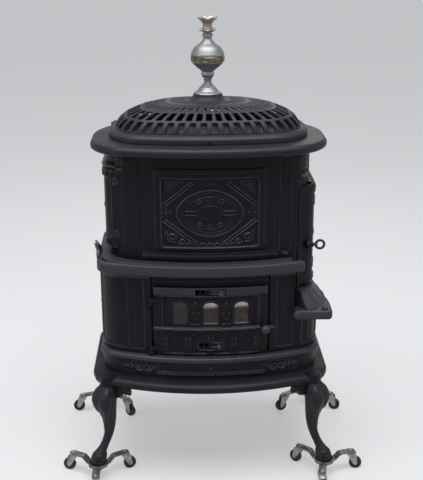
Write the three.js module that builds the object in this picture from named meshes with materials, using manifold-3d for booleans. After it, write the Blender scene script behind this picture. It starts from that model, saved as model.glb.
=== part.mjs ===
// Parlour stove: a bowed cast-iron body on cabriole legs, with a pierced swing dome and a turned
// finial, a front door with three mica windows, a tall feed door on the right, and a caster dolly
// under each foot. Millimetres, +Z up, the front faces -Y, the floor is z = 0, and the origin is
// in the middle of the footprint.
import * as THREE from 'three';
import { mergeVertices } from 'three/addons/utils/BufferGeometryUtils.js';
import Module from 'manifold-3d';

const wasm = await Module();
wasm.setup();

// ---------------------------------------------------------------- general sizes
const castWall = 6; // thickness of the body castings
const seatGap = 0.3; // between pieces that touch
const runningGap = 0.5; // round a pin or a spindle that turns
const overcut = 2; // how far a cutter runs past the face it cuts

// Every level casting is a bowed rectangle in plan: the front and back bulge by `bow` in the
// middle, and the four corners are round.
const lowerPlan = { halfWidth: 338, halfDepth: 222, bow: 65, corner: 60 };
const upperInset = { side: 33, front: 25 }; // the upper body stands in from the lower
const upperPlan = {
  halfWidth: lowerPlan.halfWidth - upperInset.side,
  halfDepth: lowerPlan.halfDepth - upperInset.front,
  bow: 58,
  corner: 60,
};
const cornerSteps = 4;
const frontSteps = 5;

// Heights of the stacked castings.
const footHeight = 46; // floor of the dolly's cup
const legHeight = 261;
const skirtHeight = 29;
const bandHeight = 57;
const railHeight = 19;
const lowerHeight = 261;
const beltHeight = 35;
const upperHeight = 329;
const rimHeight = 27;

const skirtLevel = footHeight + legHeight;
const bandLevel = skirtLevel + skirtHeight;
const railLevel = bandLevel + bandHeight;
const floorLevel = railLevel + railHeight;
const beltLevel = floorLevel + lowerHeight;
const upperLevel = beltLevel + beltHeight;
const rimLevel = upperLevel + upperHeight;
const topLevel = rimLevel + rimHeight;

// How far each ring of the body stands out from the casting it goes round.
const skirt = { side: 34, front: 58, bow: 89, wall: 9, ledge: 6 };
const band = { side: 0, front: 6 };
const rail = { side: 6, front: 28, bow: 81, corner: 35 };
const belt = { side: 7, front: 21, bow: 63, corner: 30, wrapY: -50, horn: 23, round: 5 };
const rim = {
  side: 51, front: 50, bow: 71, corner: 100, backCorner: 170, round: 8, plate: 12, lip: 9, seat: 5,
};
const floorPlate = 8;

// Front door: mica windows above, draft slide and ash opening below, one ledge between.
const windows = { count: 3, pitch: 94, width: 46, bottom: floorLevel + 103, height: 72 };
const frontDoor = {
  halfWidth: 171.5, bottom: floorLevel + 3, top: beltLevel - 38, proud: 4, thickness: 12,
  ledgeLevel: windows.bottom - 17, ledgeHeight: 10, ledgeReach: 12, sideGap: 9.5,
};
const micaMargin = 12; // of the mica beyond the windows
const mica = {
  halfWidth: ((windows.count - 1) * windows.pitch + windows.width) / 2 + micaMargin + 5,
  bottom: windows.bottom - micaMargin,
  top: windows.bottom + windows.height + micaMargin,
  pocket: 3, sheet: 0.8, retainer: 1.4,
};
const checkSlide = {
  level: frontDoor.top - 15, halfHeight: 8, cavityHalf: 50, plateHalf: 27, rest: 22,
};
const draftSlide = {
  level: frontDoor.bottom + 32, halfHeight: 13, cavityHalf: 40, plateHalf: 22, rest: 17,
};
const slidePlate = { thickness: 2.5, cover: 3.4, lip: 3, knob: 6, knobReach: 13 };
const vent = { radius: 6, inset: 10, pitch: 16 };

// Seams between the body castings, measured from the middle plane.
const frameSeam = frontDoor.halfWidth + frontDoor.sideGap; // inner edge of the front columns
const frontFrame = {
  halfWidth: frameSeam + 14, openHalfWidth: frontDoor.halfWidth - 11.5,
  openTop: frontDoor.top - 7, setback: 8.4,
};
const panelSeam = frontFrame.halfWidth + 10; // front panel and back casting
const frontHinge = {
  x: frameSeam + 1, reach: 9, knuckle: 8, pin: 3, lugHeight: 9.5, lugReach: 14,
  levels: [windows.bottom + 62, frontDoor.bottom + 3],
};
const doorStrap = { height: 13, inset: 6, front: 4, back: 5 };
const latch = {
  x: frontDoor.halfWidth - 5.5, level: frontDoor.ledgeLevel + 3, spindle: 4, ball: 14, stem: 15,
  barLength: 30, barHeight: 9, barDepth: 5, boss: 12, bossDepth: 10, lift: 2, room: 20,
};

// Side hearth with its sloping apron, under the feed door.
const hearthLevel = floorLevel + 103;
const hearth = {
  height: 30, frontY: lowerPlan.halfDepth - 21, outerX: lowerPlan.halfWidth + 38, backY: 30,
  corner: 14, innerLap: 7,
};
const hearthTop = hearthLevel + hearth.height;
const apron = { top: hearthTop + 53, foot: 8, reach: 24.5, footReach: 64.5 };

// Feed door on the right, hinged at the back, and the blind one that matches it on the left.
const feedDoor = {
  edgeX: upperPlan.halfWidth - 39, bottom: apron.top + 7, top: rimLevel - 107, back: 12, face: 22,
  sillBand: 35, openHalfDepth: 120, sillGap: 0.4, sillInset: 2, strap: 14, strapReach: 21,
};
const columnEdge = feedDoor.edgeX - 9; // outer edge of the right-hand columns
const feedHinge = {
  x: feedDoor.edgeX - 4, reach: upperPlan.halfDepth - 10, knuckle: 8, pin: 3,
  levels: [upperLevel + 12, feedDoor.top - 50], lugRoot: 12, lugDepth: 39,
};
const falseDoor = {
  bottom: upperLevel + 27, top: rimLevel - 37, face: 21, wall: 6, edgeX: feedDoor.edgeX,
};
const ringHandle = {
  y: 61 - upperPlan.halfDepth, level: upperLevel + 32, radius: 14, bar: 3, reach: upperPlan.halfWidth + 33,
  stem: 3.5, stemStart: upperPlan.halfWidth - 4.5, boss: 9, bossFace: upperPlan.halfWidth + 11,
  hub: 7, hubWidth: 3,
};

const panel = {
  halfWidth: 167, bottom: upperLevel + 37, top: rimLevel - 42, rise: 5, border: 25, inset: 14,
};
const moulding = { bottom: upperLevel + 4, top: upperLevel + 22, rise: 4 };

// Cooking hole with its lid, and the swing dome over both.
const cookHole = { radius: 108, seat: 7, lid: 7.5, lidBoss: 5, bossInset: 3, lidClearance: 0.6 };
const lifter = { length: 30, width: 12, depth: 5, offset: 60 };
const dome = {
  halfWidth: upperPlan.halfWidth - 3, halfDepth: upperPlan.halfDepth - 10, bow: 50, corner: 100,
  wall: 5, flangeHeight: 17, shoulder: 24, inset: 16, rise: 77, roundness: 1.9, steps: 5,
  crown: 0.22,
};
const slots = { count: 40, low: 33.7, high: 58.7, width: 20, reach: 32 };
const domePivot = { turn: 140, reach: 13, ear: 17, earHeight: 12, pin: 7, depth: 22 };
const boss = { height: 18, foot: 66, neck: 43, steps: 4 };
const finialSides = 16;

const flue = {
  level: rimLevel - 107, hole: 72, bore: 70, outer: 75, flange: 94, flangeThickness: 7,
  length: 55,
};

// Fire pot on two stands, with a round grate in its floor and the ash pan below.
const firePot = {
  top: beltLevel - 9, bottom: floorLevel + 91, wall: 13, plate: 12, corner: 60,
  rimHalfWidth: upperPlan.halfWidth - 20, rimHalfDepth: upperPlan.halfDepth - 21, rimBow: 50,
  taperX: 95, taperY: 38, footBow: 20,
};
const potFootHalfDepth = firePot.rimHalfDepth - firePot.taperY;
const grate = {
  radius: potFootHalfDepth - 20, ledge: 8, clearance: 1.5, thickness: 9, bars: 5,
  slot: 18, rimWidth: 12, spine: 8, hub: 14, hubDepth: 12,
};
const ashPan = {
  halfWidth: frontFrame.openHalfWidth - 8, front: -potFootHalfDepth, back: 160, height: 72,
  wall: 2.5, grip: 14, gripRadius: 7,
};
const potStand = { x: ashPan.halfWidth + 20, halfDepth: 112, thickness: 11 };

// Legs and the caster dollies under their feet.
const legReach = { x: lowerPlan.halfWidth + 22, y: lowerPlan.halfDepth + 13 };
const legSeat = {
  x: lowerPlan.halfWidth - 18, y: lowerPlan.halfDepth - 30, radius: 27, height: 30,
};
const dolly = {
  cupRadius: 31, cupWall: 3, cupHeight: 8, cupFloor: 4, arm: 94, armWidth: 24, strap: 4,
  armTop: 62, rootIn: 8, bendIn: 34, bendOut: 52, bendShift: 3, tip: 107,
};
const dollyArms = [-90, 30, 150];
const caster = {
  wheel: 20, wheelWidth: 15, trail: 16, cheek: 2.5, cheekGap: 0.9, axle: 3, stem: 4, head: 7,
  headHeight: 3.7, crown: 6, crownHalf: 12, hub: 6.5, sides: 16,
};

// ---------------------------------------------------------------- colours
const paint = (color, roughness, metalness) =>
  new THREE.MeshStandardMaterial({ color, roughness, metalness });
const castIron = paint(0x1c1b1e, 0.55, 0.6);
const ironEdge = paint(0x2a2a2f, 0.45, 0.7);
const polished = paint(0xb9bdc0, 0.22, 1.0);
const goldBand = paint(0x6d5a34, 0.35, 1.0);
const micaTint = paint(0x8a6a42, 0.25, 0.0);
const zinc = paint(0x9b9da0, 0.4, 1.0);
const blackTyre = paint(0x161616, 0.6, 0.0);
const sheetSteel = paint(0x55565a, 0.6, 0.9);

// ---------------------------------------------------------------- shape tools
const radians = THREE.MathUtils.degToRad;

// A closed triangle mesh as a solid: shared corners are merged, slivers at poles dropped, and
// the faces turned to point outwards.
function solidFrom(geometry) {
  const bare = geometry.index ? geometry.toNonIndexed() : geometry.clone();
  bare.deleteAttribute('normal');
  bare.deleteAttribute('uv');
  const merged = mergeVertices(bare, 1e-4);
  const points = merged.getAttribute('position');
  const corners = merged.index.array;
  const triangles = [];
  let volume = 0;
  const [a, b, c] = [new THREE.Vector3(), new THREE.Vector3(), new THREE.Vector3()];
  for (let i = 0; i < corners.length; i += 3) {
    const [p, q, r] = [corners[i], corners[i + 1], corners[i + 2]];
    if (p === q || q === r || r === p) continue;
    triangles.push([p, q, r]);
    a.fromBufferAttribute(points, p);
    b.fromBufferAttribute(points, q);
    c.fromBufferAttribute(points, r);
    volume += a.dot(b.cross(c));
  }
  const ordered = volume < 0 ? triangles.map(([p, q, r]) => [p, r, q]) : triangles;
  return new wasm.Manifold(new wasm.Mesh({
    numProp: 3, vertProperties: points.array, triVerts: new Uint32Array(ordered.flat()),
  }));
}

// A skin over a stack of closed rings with the same number of points, closed at both ends.
function loft(rings) {
  const count = rings[0].length;
  const corners = rings.flat();
  const middle = (ring) =>
    ring.reduce((sum, point) => sum.add(point), new THREE.Vector3()).divideScalar(count);
  corners.push(middle(rings[0]), middle(rings.at(-1)));
  const [lowHub, highHub] = [corners.length - 2, corners.length - 1];
  const lastRing = (rings.length - 1) * count;
  const index = [];
  for (let i = 0; i < count; i++) {
    const next = (i + 1) % count;
    index.push(lowHub, next, i, highHub, lastRing + i, lastRing + next);
    for (let base = 0; base < lastRing; base += count) {
      index.push(base + i, base + next, base + count + next);
      index.push(base + i, base + count + next, base + count + i);
    }
  }
  const geometry = new THREE.BufferGeometry().setFromPoints(corners);
  geometry.setIndex(index);
  return solidFrom(geometry);
}

// Grows a plan by an offset at the sides and at the front.
function grown(plan, side, front = side, changes = {}) {
  const corner = Math.max(plan.corner + Math.min(side, front), castWall);
  return {
    ...plan, halfWidth: plan.halfWidth + side, halfDepth: plan.halfDepth + front, corner, ...changes,
  };
}

// The outline of a plan at one height: round corners, joined by bowed fronts and straight sides.
function planRing({ halfWidth, halfDepth, bow, corner, backCorner = corner }, z) {
  const flatDepth = halfDepth - bow;
  const ring = [];
  const add = (x, y) => {
    const bulge = bow * (1 - (x / halfWidth) ** 2) * (y / flatDepth);
    ring.push(new THREE.Vector3(x, y + bulge, z));
  };
  for (const [sideX, sideY, start] of [[1, 1, 0], [-1, 1, 90], [-1, -1, 180], [1, -1, 270]]) {
    const round = Math.min(sideY > 0 ? backCorner : corner, flatDepth - 1);
    const [reachX, reachY] = [halfWidth - round, flatDepth - round];
    for (let step = 0; step <= cornerSteps; step++) {
      const angle = radians(start + (90 * step) / cornerSteps);
      add(sideX * reachX + round * Math.cos(angle), sideY * reachY + round * Math.sin(angle));
    }
    if (sideX !== sideY) continue;
    for (let step = 1; step < frontSteps; step++)
      add(sideX * reachX * (1 - (2 * step) / frontSteps), sideY * flatDepth);
  }
  return ring;
}

// A solid whose plan changes with height, from a list of [height, plan] pairs.
const planSolid = (sections) => loft(sections.map(([z, plan]) => planRing(plan, z)));

// The same plan between two heights.
const prism = (plan, low, high) => planSolid([[low, plan], [high, plan]]);

// A wall that follows a plan, between two offsets from it.
const shell = (plan, inner, outer, low, high) =>
  prism(grown(plan, outer), low, high)
    .subtract(prism(grown(plan, inner), low - overcut, high + overcut));

// An upright box between two corners.
function block([x0, x1], [y0, y1], [z0, z1]) {
  const geometry = new THREE.BoxGeometry(Math.abs(x1 - x0), Math.abs(y1 - y0), Math.abs(z1 - z0));
  return solidFrom(geometry.translate((x0 + x1) / 2, (y0 + y1) / 2, (z0 + z1) / 2));
}

// A round bar between two points.
function bar(start, end, radius, sides = 14) {
  const [from, to] = [new THREE.Vector3(...start), new THREE.Vector3(...end)];
  const along = to.clone().sub(from);
  const geometry = new THREE.CylinderGeometry(radius, radius, along.length(), sides);
  const turn = new THREE.Quaternion().setFromUnitVectors(
    new THREE.Vector3(0, 1, 0), along.clone().normalize());
  geometry.applyQuaternion(turn);
  const middle = from.add(to).divideScalar(2);
  return solidFrom(geometry.translate(middle.x, middle.y, middle.z));
}

// A shape turned about the upright axis, from [radius, height] pairs.
function turned(profile, sides) {
  const points = profile.map(([radius, height]) => new THREE.Vector2(radius, height));
  return solidFrom(new THREE.LatheGeometry(points, sides).rotateX(Math.PI / 2));
}

// A flat outline in a vertical plane facing the front, given depth along y.
function fromFront(shape, y0, y1) {
  const geometry = new THREE.ExtrudeGeometry(shape, {
    depth: Math.abs(y1 - y0), bevelEnabled: false, curveSegments: 8,
  });
  return solidFrom(geometry.rotateX(Math.PI / 2).translate(0, Math.max(y0, y1), 0));
}

const together = (solids) => solids.reduce((whole, solid) => whole.add(solid));
const without = (whole, solids) => solids.reduce((rest, solid) => rest.subtract(solid), whole);

const far = 1000; // reaches past the whole body
const everyX = [-far, far];
const everyY = [-far, far];
const everyZ = [-far, 2 * far];

const overhang = (plan, { side, front, bow = plan.bow, corner = plan.corner }, trim = 0) =>
  grown(plan, side - trim, front - trim, { bow, corner });
// Depth of a plan's front at a distance x from the middle, along its bowed stretch.
const frontDepth = (plan, x) => plan.halfDepth - plan.bow * (x / plan.halfWidth) ** 2;

const stove = new THREE.Group();
function addPiece(name, solid, material, parent = stove) {
  const { vertProperties, triVerts } = solid.getMesh();
  const geometry = new THREE.BufferGeometry();
  geometry.setAttribute('position', new THREE.Float32BufferAttribute(vertProperties, 3));
  geometry.setIndex([...triVerts]);
  const piece = new THREE.Mesh(geometry.toNonIndexed(), material);
  piece.geometry.computeVertexNormals();
  piece.name = name;
  parent.add(piece);
}

// ---------------------------------------------------------------- base and legs
// Base casting: flared skirt ring, recessed band, rail and ash-pit floor, open underneath.
const skirtPlan = overhang(lowerPlan, skirt);
const bandPlan = overhang(lowerPlan, band);
const railPlan = overhang(lowerPlan, rail);
const skirtTop = grown(skirtPlan, -skirt.ledge, -3 * skirt.ledge);
const baseOuter = planSolid([
  [skirtLevel, grown(skirtPlan, -skirt.ledge)],
  [skirtLevel + skirt.ledge, skirtPlan],
  [bandLevel - 2 * skirt.ledge, grown(skirtPlan, 0, -skirt.ledge)],
  [bandLevel, skirtTop],
  [bandLevel, bandPlan],
  [railLevel, bandPlan],
  [railLevel, overhang(lowerPlan, rail, castWall)],
  [railLevel + railHeight / 3, railPlan],
  [floorLevel - railHeight / 4, railPlan],
  [floorLevel, overhang(lowerPlan, rail, 4)],
]);
const baseInner = planSolid([
  [skirtLevel - overcut, grown(skirtPlan, -skirt.wall - skirt.ledge)],
  [skirtLevel + skirt.ledge, grown(skirtPlan, -skirt.wall)],
  [bandLevel - skirt.wall, grown(skirtTop, -skirt.wall)],
  [bandLevel - skirt.wall, grown(bandPlan, -castWall)],
  [floorLevel - floorPlate, grown(bandPlan, -castWall)],
]);
const corners = [[-1, -1, 'front_left'], [1, -1, 'front_right'],
  [1, 1, 'back_right'], [-1, 1, 'back_left']];
const legSeats = corners.map(([signX, signY]) => {
  const [x, y] = [signX * legSeat.x, signY * legSeat.y];
  return bar([x, y, skirtLevel], [x, y, skirtLevel + legSeat.height], legSeat.radius);
});
addPiece('base_casting',
  baseOuter.subtract(baseInner).add(together(legSeats).intersect(baseOuter)), castIron);

// One cabriole leg as level sections: height, centre, half-width along and across the corner.
const legSections = [
  [0, legReach.x - 2, legReach.y, 21, 21],
  [12, legReach.x - 2, legReach.y, 24, 24],
  [26, legReach.x - 3, legReach.y - 1, 23, 22],
  [42, legReach.x - 10, legReach.y - 5, 19, 18],
  [58, legReach.x - 20, legReach.y - 13, 17, 16],
  [80, legReach.x - 32, legReach.y - 23, 17, 16],
  [119, legReach.x - 39, legReach.y - 31, 21, 20],
  [154, legReach.x - 36, legReach.y - 31, 27, 25],
  [192, legReach.x - 29, legReach.y - 29, 33, 30],
  [228, legReach.x - 31, legReach.y - 32, 33, 30],
  [legHeight - seatGap, legSeat.x, legSeat.y, 29, 25],
];
const legSides = 10;
const wing = { height: 34, thickness: 9, points: [[250, 232], [364, 118]] };

function legSolid(signX, signY) {
  const outward = Math.atan2(signY, signX);
  const rings = legSections.map(([height, x, y, along, across]) =>
    Array.from({ length: legSides }, (_, side) => {
      const angle = (2 * Math.PI * side) / legSides;
      const [u, v] = [along * Math.cos(angle), across * Math.sin(angle)];
      return new THREE.Vector3(
        signX * x - u * Math.sin(outward) + v * Math.cos(outward),
        signY * y + u * Math.cos(outward) + v * Math.sin(outward),
        footHeight + seatGap + height * ((legHeight - 2 * seatGap) / (legHeight - seatGap)),
      );
    }));
  // Two brackets run out from the knee under the skirt ring.
  const brackets = wing.points.map(([endX, endY]) => {
    const [runX, runY] = [endX - legSeat.x, endY - legSeat.y];
    const length = Math.hypot(runX, runY);
    const outline = new THREE.Shape([
      new THREE.Vector2(0, -2 * wing.height), new THREE.Vector2(length, -wing.height / 4),
      new THREE.Vector2(length, 0), new THREE.Vector2(0, 0),
    ]);
    const plate = new THREE.ExtrudeGeometry(outline, { depth: wing.thickness, bevelEnabled: false });
    plate.translate(0, 0, -wing.thickness / 2).rotateX(Math.PI / 2);
    plate.rotateZ(Math.atan2(signY * runY, signX * runX));
    plate.translate(signX * legSeat.x, signY * legSeat.y, skirtLevel - seatGap);
    return solidFrom(plate);
  });
  return together([loft(rings), ...brackets]);
}
for (const [signX, signY, corner] of corners)
  addPiece(`leg_${corner}`, legSolid(signX, signY), castIron);

// ---------------------------------------------------------------- lower body
const lowLow = floorLevel + seatGap;
const lowHigh = beltLevel - seatGap;
const lowerShell = prism(lowerPlan, lowLow, lowHigh)
  .subtract(prism(grown(lowerPlan, -castWall), lowLow - overcut, lowHigh + overcut));
const frontHalf = (limits) => block(limits, [-far, 0], everyZ);
const backHalf = (limits) => block(limits, [0, far], everyZ);

// Front frame, set back behind the columns, open at the bottom for the ash pan.
const frameFace = -frontFrame.setback;
addPiece('lower_front_frame', shell(lowerPlan, frameFace - castWall, frameFace, lowLow, lowHigh)
  .intersect(frontHalf([-frontFrame.halfWidth, frontFrame.halfWidth]))
  .subtract(block([-frontFrame.openHalfWidth, frontFrame.openHalfWidth], [-far, 0],
    [lowLow - overcut, frontFrame.openTop])), castIron);

// Hinge lug with an upright pin, and the knuckle that turns on it.
function hingeLug(x, y, root, level, { knuckle, pin }, height) {
  const lug = together([
    bar([x, y, level], [x, y, level + height], knuckle),
    block([Math.min(x, root[0]), Math.max(x, root[0])],
      [Math.min(y, root[1]), Math.max(y, root[1])], [level, level + height]),
  ]);
  const top = level + height + seatGap + doorStrap.height;
  return lug.add(bar([x, y, level], [x, y, top], pin, 12));
}
const knuckleAt = (x, y, level, { knuckle }, height) =>
  bar([x, y, level + height + seatGap], [x, y, level + height + seatGap + doorStrap.height], knuckle);
const pinHole = (x, y, { pin }) =>
  bar([x, y, floorLevel - overcut], [x, y, rimLevel], pin + runningGap, 12);

const columnFace = (x) => -frontDepth(lowerPlan, x);
const frontHingeY = columnFace(frontHinge.x) - frontHinge.reach;
const leftSeamX = -(frameSeam + seatGap);
const frontLugs = frontHinge.levels.map((level) =>
  hingeLug(-frontHinge.x, frontHingeY, [-frontHinge.x - frontHinge.lugReach, columnFace(frontHinge.x) + castWall],
    level, frontHinge, frontHinge.lugHeight)
    .subtract(block([leftSeamX, 0], [columnFace(frontHinge.x) - 1, 0], everyZ)));
addPiece('lower_left_side', together([
  lowerShell.intersect(frontHalf([-far, leftSeamX])),
  lowerShell.intersect(backHalf([-far, -panelSeam - seatGap])),
  ...frontLugs,
]), castIron);

// ---------------------------------------------------------------- back and right side castings
const rightX = frameSeam + seatGap;
const backSeam = panelSeam + seatGap;
const upLow = upperLevel + seatGap;
const upHigh = rimLevel - seatGap;
const upperShell = shell(upperPlan, -castWall, 0, upLow, upHigh);
const ringBetween = (low, high) => prism(lowerPlan, low, high)
  .subtract(prism(grown(upperPlan, -castWall), low - overcut, high + overcut));
// At the back one casting runs from the floor to the top, with a shelf at the step.
const backBody = together([
  shell(lowerPlan, -castWall, 0, lowLow, upperLevel),
  ringBetween(upperLevel - castWall, upperLevel),
  shell(upperPlan, -castWall, 0, upperLevel - castWall, upHigh),
]);
const flueBore = bar([0, 0, flue.level], [0, far, flue.level], flue.hole, 24);
addPiece('back_casting', backBody.intersect(backHalf([-panelSeam, panelSeam]))
  .subtract(flueBore), castIron);

// Right side: below the feed door it steps in to the upper plan, between two columns.
const webLevel = hearthLevel - castWall;
const columnWall = [columnEdge - castWall, columnEdge];
const stepCut = block([columnEdge, far], everyY, [hearthLevel, far]);
const sill = shell(upperPlan, -castWall, feedDoor.back - feedDoor.sillGap,
  feedDoor.bottom + feedDoor.sillInset, feedDoor.top - feedDoor.sillInset)
  .intersect(block([feedDoor.edgeX + feedDoor.sillInset, far], everyY, everyZ));
const feedOpening = block([columnEdge, far], [-feedDoor.openHalfDepth, feedDoor.openHalfDepth],
  [feedDoor.bottom + feedDoor.sillBand, feedDoor.top - feedDoor.sillBand]);
const feedLugs = feedHinge.levels.map((level) =>
  hingeLug(feedHinge.x, feedHinge.reach,
    [feedHinge.x - feedHinge.lugRoot, feedHinge.reach - feedHinge.lugDepth], level,
    feedHinge, frontHinge.lugHeight));
addPiece('right_side_casting', together([
  lowerShell.intersect(frontHalf([rightX, far])).subtract(stepCut),
  backBody.intersect(backHalf([backSeam, far])).subtract(stepCut),
  upperShell.intersect(block([backSeam, far], everyY, everyZ)),
  shell(upperPlan, -castWall, 0, webLevel, upHigh).intersect(block([columnWall[0], far], everyY,
    everyZ)),
  ringBetween(webLevel, hearthLevel).intersect(block([columnWall[0], far], everyY, everyZ)),
  ringBetween(webLevel, lowHigh).intersect(frontHalf(columnWall)),
  ringBetween(webLevel, upperLevel).intersect(backHalf(columnWall)),
  sill, ...feedLugs,
]).subtract(feedOpening), castIron);

// ---------------------------------------------------------------- flue collar
const flueFace = upperPlan.halfDepth;
const collar = [
  bar([0, flueFace - flue.flangeThickness * 2, flue.level],
    [0, flueFace + flue.flangeThickness, flue.level], flue.flange, 24),
  bar([0, flueFace, flue.level], [0, flueFace + flue.length, flue.level], flue.outer, 24),
];
addPiece('flue_collar', together(collar)
  .subtract(prism(grown(upperPlan, seatGap), upperLevel, rimLevel))
  .subtract(bar([0, 0, flue.level], [0, far, flue.level], flue.bore, 24)), castIron);

// ---------------------------------------------------------------- belt
const beltPlan = overhang(lowerPlan, belt);
const beltRail = planSolid([
  [beltLevel, grown(beltPlan, -belt.round)],
  [beltLevel + belt.round, beltPlan],
  [upperLevel - belt.round, beltPlan],
  [upperLevel, grown(beltPlan, -belt.round)],
]).intersect(block([-far, feedDoor.edgeX + belt.horn],
  [-far, belt.wrapY], everyZ));
const beltWeb = prism(lowerPlan, beltLevel, upperLevel)
  .intersect(together([frontHalf([-far, columnWall[0] - seatGap]), backHalf([-far, -backSeam])]));
const beltHollow = prism(grown(lowerPlan, -castWall), beltLevel - overcut, upperLevel - castWall)
  .subtract(prism(grown(upperPlan, castWall), beltLevel - 2 * overcut, upperLevel));
const hornClear = frontDepth(grown(upperPlan, feedDoor.face), feedDoor.edgeX) - 1;
addPiece('belt', without(together([beltRail, beltWeb]), [
  prism(grown(upperPlan, -castWall), beltLevel - overcut, upperLevel + overcut),
  beltHollow,
  block([columnWall[0] - seatGap, far], [-hornClear, far], everyZ),
]), ironEdge);

// ---------------------------------------------------------------- upper body
const panelFrame = shell(upperPlan, -castWall, panel.rise, panel.bottom, panel.top)
  .intersect(frontHalf([-panel.halfWidth, panel.halfWidth]));
const panelField = shell(upperPlan, 0, panel.rise + overcut,
  panel.bottom + panel.inset, panel.top - panel.inset)
  .intersect(frontHalf([panel.border - panel.halfWidth, panel.halfWidth - panel.border]));
const panelFoot = shell(upperPlan, -castWall, moulding.rise, moulding.bottom, moulding.top);
addPiece('upper_front_panel', together([upperShell, panelFrame.subtract(panelField), panelFoot])
  .intersect(frontHalf([-panelSeam, panelSeam])), castIron);

// Upper left side: the raised false door is hollow from inside.
const leftEdge = block([-far, -falseDoor.edgeX], everyY, everyZ);
const leftCore = block([-far, -falseDoor.edgeX - falseDoor.wall], everyY, everyZ);
const falseFace = prism(grown(upperPlan, falseDoor.face), falseDoor.bottom, falseDoor.top);
const falseHollow = prism(grown(upperPlan, falseDoor.face - falseDoor.wall),
  falseDoor.bottom + falseDoor.wall, falseDoor.top - falseDoor.wall);
addPiece('upper_left_side', prism(upperPlan, upLow, upHigh)
  .add(falseFace.intersect(leftEdge))
  .subtract(prism(grown(upperPlan, -castWall), upLow - overcut, upHigh + overcut))
  .subtract(falseHollow.intersect(leftCore))
  .intersect(block([-far, -backSeam], everyY, everyZ)), castIron);

// ---------------------------------------------------------------- side hearth with its apron
const lip = hearth.height / 4;
function hearthRing(z, trim) {
  const shape = new THREE.Shape();
  const [left, right] = [columnEdge - hearth.innerLap, hearth.outerX - trim];
  const [front, back] = [-hearth.frontY + trim, hearth.backY];
  shape.moveTo(left, back);
  shape.lineTo(left, front);
  shape.lineTo(right - hearth.corner, front);
  shape.absarc(right - hearth.corner, front + hearth.corner, hearth.corner,
    -Math.PI / 2, 0, false);
  shape.bezierCurveTo(right + lip / 2, front * 0.6, right, front * 0.35,
    right - hearth.corner, front * 0.25);
  shape.quadraticCurveTo(right - 2 * hearth.corner, front * 0.1, right - 2 * hearth.corner, back);
  return shape.getPoints(6).slice(0, -1).map(({ x, y }) => new THREE.Vector3(x, y, z));
}
const sideHearth = loft([
  hearthRing(hearthLevel, lip), hearthRing(hearthLevel + lip, 0),
  hearthRing(hearthTop - lip, 0), hearthRing(hearthTop, lip),
]);
const apronBlock = planSolid([
  [hearthTop - overcut, grown(upperPlan, apron.footReach)],
  [apron.top, grown(upperPlan, apron.reach)],
]).intersect(loft([hearthRing(hearthTop - overcut, apron.foot), hearthRing(apron.top, apron.foot)]));
const apronTrim = block([feedDoor.edgeX, far], everyY, everyZ);
addPiece('side_hearth', sideHearth.add(apronBlock.intersect(apronTrim))
  .subtract(prism(grown(lowerPlan, seatGap), hearthLevel - overcut, hearthLevel + seatGap))
  .subtract(prism(grown(upperPlan, seatGap), hearthLevel - overcut, apron.top + overcut))
  .subtract(prism(grown(lowerPlan, seatGap), hearthLevel - overcut, hearthTop + overcut)
    .intersect(block([0, columnEdge + seatGap], everyY, everyZ))), ironEdge);

// ---------------------------------------------------------------- front door and its fittings
const doorBack = frontDoor.proud - frontDoor.thickness;
const doorBand = (inner, outer, low, high, half) =>
  shell(lowerPlan, inner, outer, low, high).intersect(frontHalf([-half, half]));
function archShape(x, bottom, width, height) {
  const shape = new THREE.Shape();
  const [half, spring] = [width / 2, bottom + height - width / 3];
  shape.moveTo(x - half, bottom);
  shape.lineTo(x + half, bottom);
  shape.lineTo(x + half, spring);
  shape.absellipse(x, spring, half, width / 3, 0, Math.PI, false, 0);
  return shape;
}
const windowCuts = Array.from({ length: windows.count }, (_, i) => fromFront(
  archShape((i - (windows.count - 1) / 2) * windows.pitch, windows.bottom, windows.width,
    windows.height), -far, 0));

// A sliding plate in an undercut pocket, with a knob, over round vents.
const doorFaceY = -(lowerPlan.halfDepth + frontDoor.proud);
function slidePocket({ level, halfHeight, cavityHalf }) {
  const front = doorFaceY + slidePlate.cover;
  const back = front + slidePlate.thickness + 2 * seatGap;
  const inner = halfHeight + slidePlate.lip;
  return [
    block([-cavityHalf, cavityHalf], [front, back], [level - inner, level + inner]),
    block([-cavityHalf + slidePlate.lip, cavityHalf - slidePlate.lip], [doorFaceY - far, back],
      [level - halfHeight, level + halfHeight]),
  ];
}
function slideSolid({ level, halfHeight, plateHalf, rest }) {
  const front = doorFaceY + slidePlate.cover + seatGap;
  const reach = halfHeight + slidePlate.lip - seatGap;
  const knobX = rest + plateHalf / 3;
  return together([
    block([rest - plateHalf, rest + plateHalf], [front, front + slidePlate.thickness],
      [level - reach, level + reach]),
    bar([knobX, front + 1, level], [knobX, doorFaceY - slidePlate.knobReach, level],
      slidePlate.knob, 12),
  ]);
}
// Two round vents at the left end of each pocket, open while the plate rests at the right.
const vents = [checkSlide, draftSlide].flatMap(({ level, cavityHalf }) =>
  [0, 1].map((i) => {
    const x = vent.inset + i * vent.pitch - cavityHalf;
    return bar([x, -far, level], [x, 0, level], vent.radius, 8);
  }));
const doorKnuckles = frontHinge.levels.map((level) => {
  const low = level + frontHinge.lugHeight + seatGap;
  return together([
    knuckleAt(-frontHinge.x, frontHingeY, level, frontHinge, frontHinge.lugHeight),
    block([-frontHinge.x, doorStrap.inset - frontDoor.halfWidth],
      [frontHingeY - doorStrap.front, frontHingeY + doorStrap.back],
      [low, low + doorStrap.height]),
  ]);
});
const ledge = doorBand(frontDoor.proud - overcut, frontDoor.proud + frontDoor.ledgeReach,
  frontDoor.ledgeLevel, frontDoor.ledgeLevel + frontDoor.ledgeHeight, frontDoor.halfWidth);
const latchFace = -(frontDepth(grown(lowerPlan, frontDoor.proud), latch.x));
const latchBoss = bar([latch.x, latchFace - 1, latch.level],
  [latch.x, latchFace + latch.bossDepth, latch.level], latch.boss, 12);
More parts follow.
